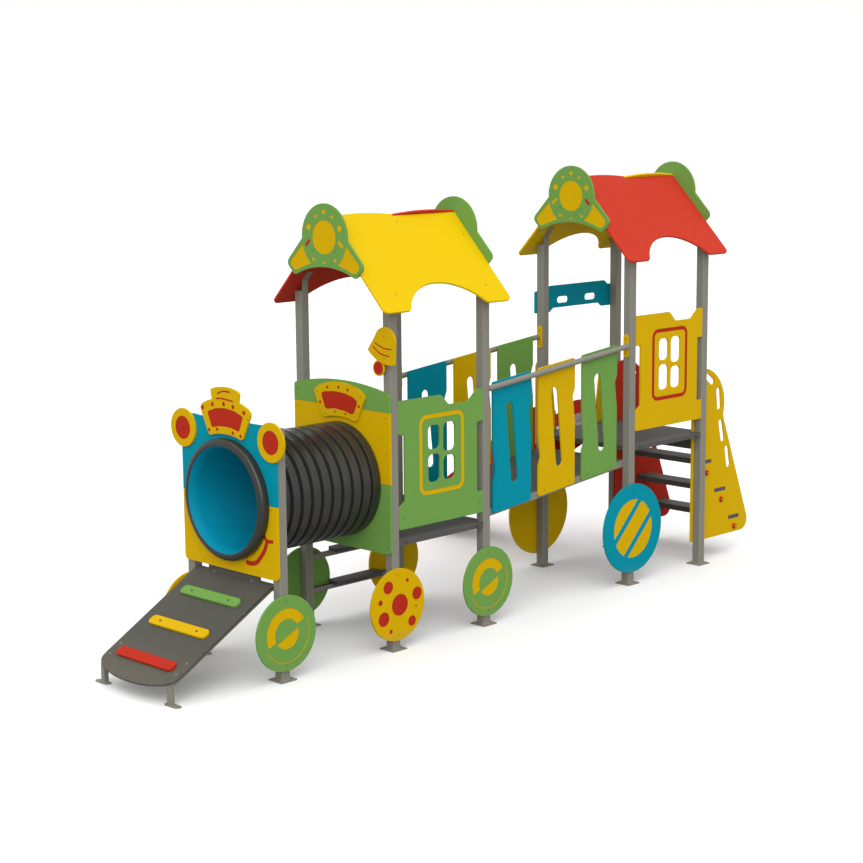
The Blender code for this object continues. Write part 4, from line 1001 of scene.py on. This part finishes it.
# Wheel discs: flat boards of coloured sheet, two screws each, on the outer faces of posts 1 to 4.
# The near ones carry sunk rings, dots and bars.
WHEEL_SCREW_IN = 0.048
WHEEL_DOTS = [(0.019, -0.003, 0.087), (-0.105, 0.155, 0.051), (0.208, 0.057, 0.052),
              (-0.155, -0.090, 0.058), (0.151, -0.156, 0.042), (0.104, 0.182, 0.016),
              (-0.190, 0.048, 0.023), (0.196, -0.043, 0.010), (-0.080, -0.202, 0.017)]
# The fourth wheel's sunk disc is crossed by two bars; its three parts lie between these v - u
WHEEL_FIELD, WHEEL_PARTS = 0.263, ((0.190, 2.0), (-0.104, 0.120), (-2.0, -0.177))


def near_wheel_shapes(number):
    """Sunk ornament of a near wheel, about its centre."""
    if number in (1, 3):  # arcs: centre, radius, first and last angle, steps
        half_ring = ring_arc(0, 0, 0.193, 28, 205, 36) + ring_arc(0, 0, 0.114, 205, 30, 30)
        half_disc = ring_arc(0, 0, 0.116, -144, 14, 28)
        line = ring_arc(0, 0, 0.2245, -149, 24, 40) + ring_arc(0, 0, 0.2175, 24, -149, 40)
        return [half_ring, half_disc, line]
    if number == 2:
        return [disc(u, v, radius, 40) for u, v, radius in WHEEL_DOTS]
    shapes = []
    for low, high in WHEEL_PARTS:
        rim = [p for p in ring_arc(0, 0, WHEEL_FIELD, 45, 405, 720)[:-1]
               if low <= p.y - p.x <= high]
        start = max(range(len(rim)), key=lambda k: (rim[k] - rim[k - 1]).length)
        shapes.append(rim[start:] + rim[:start])
    return shapes


WHEEL_LOOKS = {1: (GREEN, YELLOW, "green_board"), 2: (YELLOW, RED, "yellow_board"),
               3: (GREEN, YELLOW, "green_board"), 4: (BLUE, YELLOW, "blue_board")}
for number, (skin, core, slot) in WHEEL_LOOKS.items():
    low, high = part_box(f"wheel_{number}")
    centre, radius = (low + high) / 2, (high.x - low.x) / 2
    place = sheet_place(NEAR_WAY, UP, (centre.x, low.y, centre.z))
    mesh = bmesh.new()
    add_board(mesh, place, [disc(0, 0, radius, 96)])
    data = sink(mesh, place, near_wheel_shapes(number), skin, core)
    add_piece(f"near_wheel_{number}", data, [], [f"wheel_{number}"])
    screw = radius - WHEEL_SCREW_IN
    add_screw_heads(f"near_wheel_{number}_screws", place, [(0, screw), (0, -screw)], SCREW,
                    CAPS[skin])

# Far boards: plain wheel discs on far posts 1 to 4, and the slide's two guards on far posts 4 and
# 5. Coloured sheet 18 mm thick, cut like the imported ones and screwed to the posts' outer faces.
FAR_SKINS = {1: (YELLOW,), 2: (GREEN,), 3: (YELLOW,), 4: (YELLOW, YELLOW), 5: (YELLOW,)}
GUARD_LEVEL = 1.0         # a board that is all above this is a guard
POST_STRIP, FAR_SCREW_IN = 0.2, 0.05   # the screws go where the board crosses its post
for number, skins in FAR_SKINS.items():
    node = f"post_{number}_far"
    mesh = packed_mesh(node)
    place = sheet_place(FAR_WAY, UP, (post_x[number - 1], far_row + POST_HALF + BOARD, 0))
    outlines = packed_outlines(mesh, place)
    mesh.free()
    for index, outline in enumerate(sorted(outlines, key=lambda o: min(p.y for p in o))):
        board = bmesh.new()
        add_board(board, place, [true_curves(outline)])
        skin = skins[index]
        kind = "guard" if min(p.y for p in outline) > GUARD_LEVEL else "wheel"
        name = f"far_{kind}_{number}"
        add_piece(name, board, [skin])
        levels = [p.y for p in outline if abs(p.x) < POST_STRIP]
        spots = [(0, max(levels) - FAR_SCREW_IN), (0, min(levels) + FAR_SCREW_IN)]
        add_screw_heads(f"{name}_screws", place, spots, SCREW, CAPS[skin])

# Ramp: a dark anti-slip board with a rounded nose, bolted through to its frame, and a steel sill
# over its upper end.
RAMP_BOARD = 0.020
RAMP_HALF, RAMP_HEAD = 0.4525, 0.050   # half its width, and its reach above the origin
NOSE = [(RAMP_HALF, -0.960), (0.446, -1.015), (0.418, -1.060), (0.355, -1.098), (0.225, -1.134),
        (0.080, -1.151)]
RAMP_BOLTS, RAMP_BOLT = [(0.3975, -0.861), (0.3975, -0.977), (0.221, 0.022)], 0.011
SILL_Z, SILL_THICK, SILL_EASED = 0.7725, 0.055, 0.002
SILL = (-0.034, -0.300, -0.012, 0.300, 0.004)
GRIP = finish("anti_slip_board", (72, 71, 62), 0.66, 330, 0.0030, scuffs=0.45, soil=0.35,
              fading=0.16, waves=0.15)
ramp_angle = math.atan(RAMP_SLOPE)
ramp_way = Vector((-math.sin(ramp_angle), 0, math.cos(ramp_angle)))
ramp_up = Vector((math.cos(ramp_angle), 0, math.sin(ramp_angle)))
place = sheet_place(ramp_way, ramp_up, (RAMP_END[0], mid_y, RAMP_END[1]))
nose = soft_path(NOSE + [(-u, v) for u, v in reversed(NOSE)], 4)
outline = [Vector((-RAMP_HALF, RAMP_HEAD)), Vector((RAMP_HALF, RAMP_HEAD))] + nose
mesh = bmesh.new()
add_board(mesh, place, [outline[::-1]], RAMP_BOARD)
add_piece("dark_ramp_board", mesh, [GRIP], ["ramp_board"])
mesh = bmesh.new()
add_board(mesh, sheet_place(UP, FAR_WAY, (0, mid_y, SILL_Z)), [soft_rectangle(*SILL)], SILL_THICK,
          SILL_EASED)
add_piece("ramp_sill", mesh, [DECK_COAT])
mesh = bmesh.new()
for out, v in RAMP_BOLTS:
    for side in (-1, 1):
        add_bolt_head(mesh, place @ Vector((side * out, v, 0)), ramp_way, RAMP_BOLT)
add_piece("ramp_bolts", mesh, [POST_STEEL])

# Cleats: three bars of green, yellow and red sheet with rounded ends, screwed across the ramp for
# the feet.
CLEATS = {"green": (GREEN, -0.2255), "yellow": (YELLOW, -0.5775), "red": (RED, -0.9325)}
CLEAT_HALF, CLEAT_WIDE, CLEAT_CORNER = 0.335, 0.088, 0.036
CLEAT_TOP = RAMP_BOARD + 0.0005   # height of a cleat's top over the ramp
CLEAT_SCREW, CLEAT_SCREW_OUT = 0.010, 0.218
for colour, (skin, middle) in CLEATS.items():
    bar = soft_rectangle(-CLEAT_HALF, middle - CLEAT_WIDE / 2, CLEAT_HALF,
                         middle + CLEAT_WIDE / 2, CLEAT_CORNER)
    mesh = bmesh.new()
    add_board(mesh, place, [bar], RAMP_BOARD, EASED, CLEAT_TOP)
    add_piece(f"{colour}_cleat", mesh, [skin], [f"ramp_cleat_{colour}"])
    top = place @ Matrix.Translation((0, 0, CLEAT_TOP))
    add_screw_heads(f"{colour}_cleat_screws", top, both_sides([(CLEAT_SCREW_OUT, middle)]),
                    CLEAT_SCREW, BOLT)

# Stairs: a near yellow and a far red side board of sheet plastic. Dark treads are let through the
# near one, and coloured caps cover the bolts that hold them.
STAIR_SLOT = (0.060, 0.018)       # width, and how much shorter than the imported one
STAIR_CAPS = [(5.252, 0.830), (5.483, 0.546), (5.697, 0.253)]
# Radius of the caps and plugs, and their height as a share of it
NEAR_CAP, CAP_PLUG, FAR_CAP = (0.028, 0.70), (0.018, 1.15), (0.026, 0.35)
TREAD_EASED, TREAD_CLEAR = 0.0015, 0.0005


def keep_side(mesh, point, way):
    """Cut a solid across at a point, keep the side that lies against the way and close it."""
    cut = bmesh.ops.bisect_plane(mesh, geom=mesh.verts[:] + mesh.edges[:] + mesh.faces[:],
                                 plane_co=point, plane_no=way, clear_outer=True)
    rim = [item for item in cut["geom_cut"] if isinstance(item, bmesh.types.BMEdge)]
    bmesh.ops.holes_fill(mesh, edges=rim)
    bmesh.ops.recalc_face_normals(mesh, faces=mesh.faces)


mesh, place = board_from("stair_board_near", NEAR_WAY, slots=STAIR_SLOT)
add_piece("yellow_stair_board", mesh, [YELLOW], ["stair_board_near"])
add_screw_heads("stair_caps", place, STAIR_CAPS, NEAR_CAP[0], RED, NEAR_CAP[1])
add_screw_heads("stair_cap_plugs", place, STAIR_CAPS, CAP_PLUG[0], YELLOW,
                CAP_PLUG[1])
mesh, place = board_from("stair_board_far", FAR_WAY, slots=STAIR_SLOT)
add_piece("red_stair_board", mesh, [RED], ["stair_board_far"])
add_screw_heads("stair_caps_far", place, [(-x, z) for x, z in STAIR_CAPS], FAR_CAP[0], YELLOW,
                FAR_CAP[1])
mesh = packed_mesh("stair_board_far")
keep_side(mesh, (0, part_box("stair_board_far")[1].y - BOARD - TREAD_CLEAR, 0), FAR_WAY)
ease_edges(mesh, TREAD_EASED)
add_piece("dark_treads", mesh, [DECK_COAT])

# Grab board: blue sheet with two hand grips cut through it, across the slide's entrance on the
# far side of the rear cabin. Two screws at each end hold it to the posts.
GRAB_FORE, GRAB_AFT, GRAB_LEVELS = 0.056, 0.058, (2.40, 2.50)
mesh, place = board_from("grab_board", FAR_WAY)
add_piece("blue_grab_board", mesh, [BLUE], ["grab_board"])
low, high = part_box("grab_board")
spots = [(-x, z) for x in (low.x + GRAB_FORE, high.x - GRAB_AFT) for z in GRAB_LEVELS]
add_screw_heads("grab_screws", place, spots, SCREW, CAPS[BLUE])

# Slide: two cheeks of red sheet and a chute folded from one ground stainless sheet between them.
# Its outer end stands on one square leg, coated like the posts.
CHUTE_EASED = 0.0008
LEG_IN = 0.283            # from the chute's outer end to the leg's middle
LEG_CLEAR, LEG_TOP = 0.085, 0.262      # the leg and its plate lie inside this reach and level
for end, way in (("front", FRONT_WAY), ("rear", BACK_WAY)):
    node = f"slide_cheek_{end}"
    mesh, place = board_from(node, way)
    add_piece(f"red_cheek_{end}", mesh, [RED], [node])


def stainless():
    """Ground stainless sheet: long fine lines in place of the peel, and small dull patches."""
    material = finish("ground_stainless", (190, 192, 194), 0.24, 200, 0.0002, metallic=1.0,
                      scuffs=0.05, soil=0.3, fading=0.08)
    tree = material.node_tree
    place = add_node(tree, "TexCoord").outputs["Object"]
    lines = add_node(tree, "Mapping", {"Vector": place, "Scale": (900.0, 6.0, 6.0)})
    grain = add_node(tree, "TexNoise", {"Vector": lines.outputs[0], "Scale": 1.0, "Detail": 3.0})
    relief = add_node(tree, "Bump", {"Height": grain.outputs["Fac"], "Distance": 0.0003,
                                     "Strength": 0.4})
    tree.links.new(relief.outputs["Normal"], tree.nodes["Principled BSDF"].inputs["Normal"])
    return material


STAINLESS = stainless()
mesh = packed_mesh("slide_chute")
ease_edges(mesh, CHUTE_EASED)
piece = add_piece("folded_chute", mesh, [STAINLESS, POST_STEEL], ["slide_chute"])
low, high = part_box("slide_chute")
slide_x, leg_y = (low.x + high.x) / 2, high.y - LEG_IN
for face in piece.data.polygons:
    aside = max(abs(face.center.x - slide_x), abs(face.center.y - leg_y))
    if aside < LEG_CLEAR and face.center.z < LEG_TOP:
        face.material_index = 1

# Studio: a pale floor without an edge under a white tent, and two soft suns, one from behind the
# camera and one straight above.
FLOOR = 60.0              # half its side
# Suns: name, direction of the light, strength, softness in degrees
SUNS = [("front_light", (0.60, 0.60, -0.53), 1.78, 60), ("top_light", (0.0, 0.0, -1.0), 1.0, 75)]
TENT = 0.71               # strength of the light from all round
FLOOR_SEEN, FLOOR_BOUNCE = 0.95, 0.32  # tone to the eye, and for the light that it throws back
FLOOR_UNEVEN = 0.015
FLOOR_GLOW = 0.05         # lifts the soft shadows a little


def studio_floor():
    """Pale seamless floor, a little uneven in tone."""
    material = bpy.data.materials.new("pale_floor")
    material.use_nodes = True
    tree = material.node_tree
    shader = tree.nodes["Principled BSDF"]
    place = add_node(tree, "TexCoord").outputs["Object"]
    tone = add_node(tree, "TexNoise", {"Vector": place, "Scale": 0.4, "Detail": 2.0})
    shade = add_node(tree, "MapRange", {0: tone.outputs["Fac"], 3: FLOOR_SEEN - FLOOR_UNEVEN,
                                        4: FLOOR_SEEN + FLOOR_UNEVEN})
    straight = add_node(tree, "LightPath").outputs["Is Camera Ray"]
    level = add_node(tree, "Mix", {0: straight, 2: FLOOR_BOUNCE, 3: shade.outputs[0]})
    tree.links.new(level.outputs[0], shader.inputs["Base Color"])
    glow = add_node(tree, "Math", {0: straight, 1: FLOOR_GLOW}, operation="MULTIPLY")
    tree.links.new(glow.outputs[0], shader.inputs["Emission Strength"])
    shader.inputs["Emission Color"].default_value = (1.0, 1.0, 1.0, 1.0)
    shader.inputs["Roughness"].default_value = 0.7
    mesh = bmesh.new()
    bmesh.ops.create_grid(mesh, x_segments=4, y_segments=4, size=FLOOR)
    data = bpy.data.meshes.new("floor")
    mesh.to_mesh(data)
    mesh.free()
    floor = bpy.data.objects.new("floor", data)
    data.materials.append(material)
    bpy.context.scene.collection.objects.link(floor)


studio_floor()
for name, way, strength, softness in SUNS:
    light = bpy.data.lights.new(name, "SUN")
    light.energy, light.angle = strength, math.radians(softness)
    lamp = bpy.data.objects.new(name, light)
    lamp.rotation_euler = Vector(way).to_track_quat("-Z", "Y").to_euler()
    bpy.context.scene.collection.objects.link(lamp)
scene = bpy.context.scene
world = bpy.data.worlds.new("studio")
world.use_nodes = True
tree = world.node_tree
tent = tree.nodes["Background"]
tent.inputs["Color"].default_value = (1.0, 1.0, 1.0, 1.0)
tent.inputs["Strength"].default_value = TENT
backdrop = add_node(tree, "Background", {"Color": (1.0, 1.0, 1.0, 1.0), "Strength": 1.0})
seen_straight = add_node(tree, "LightPath").outputs["Is Camera Ray"]
both = add_node(tree, "MixShader", {0: seen_straight, 1: tent.outputs[0], 2: backdrop.outputs[0]})
tree.links.new(both.outputs[0], tree.nodes["World Output"].inputs["Surface"])
scene.world = world
scene.view_settings.view_transform = "Standard"

# Camera: at the photograph's place and angle, found from the posts, their foot plates and the
# boards' corners. Angles are in degrees.
CAMERA_AT = (-9.02667, -10.60273, 4.21831)
CAMERA_YAW, CAMERA_PITCH, CAMERA_ROLL = 44.955, 9.590, -0.4527
LENS = 80.361
camera_data = bpy.data.cameras.new("camera")
camera_data.lens = LENS
camera_data.sensor_width = 36.0
camera_data.clip_end = 200.0
camera = bpy.data.objects.new("camera", camera_data)
yaw, pitch, roll = (math.radians(a) for a in (CAMERA_YAW, CAMERA_PITCH, CAMERA_ROLL))
heading = Vector((math.cos(yaw) * math.cos(pitch), math.sin(yaw) * math.cos(pitch),
                  -math.sin(pitch)))
level_right = Vector((math.sin(yaw), -math.cos(yaw), 0))
level_up = level_right.cross(heading)
right = level_right * math.cos(roll) + level_up * math.sin(roll)
aim = Matrix((right, right.cross(heading), -heading)).transposed().to_4x4()
aim.translation = CAMERA_AT
camera.matrix_world = aim
scene.collection.objects.link(camera)
scene.camera = camera
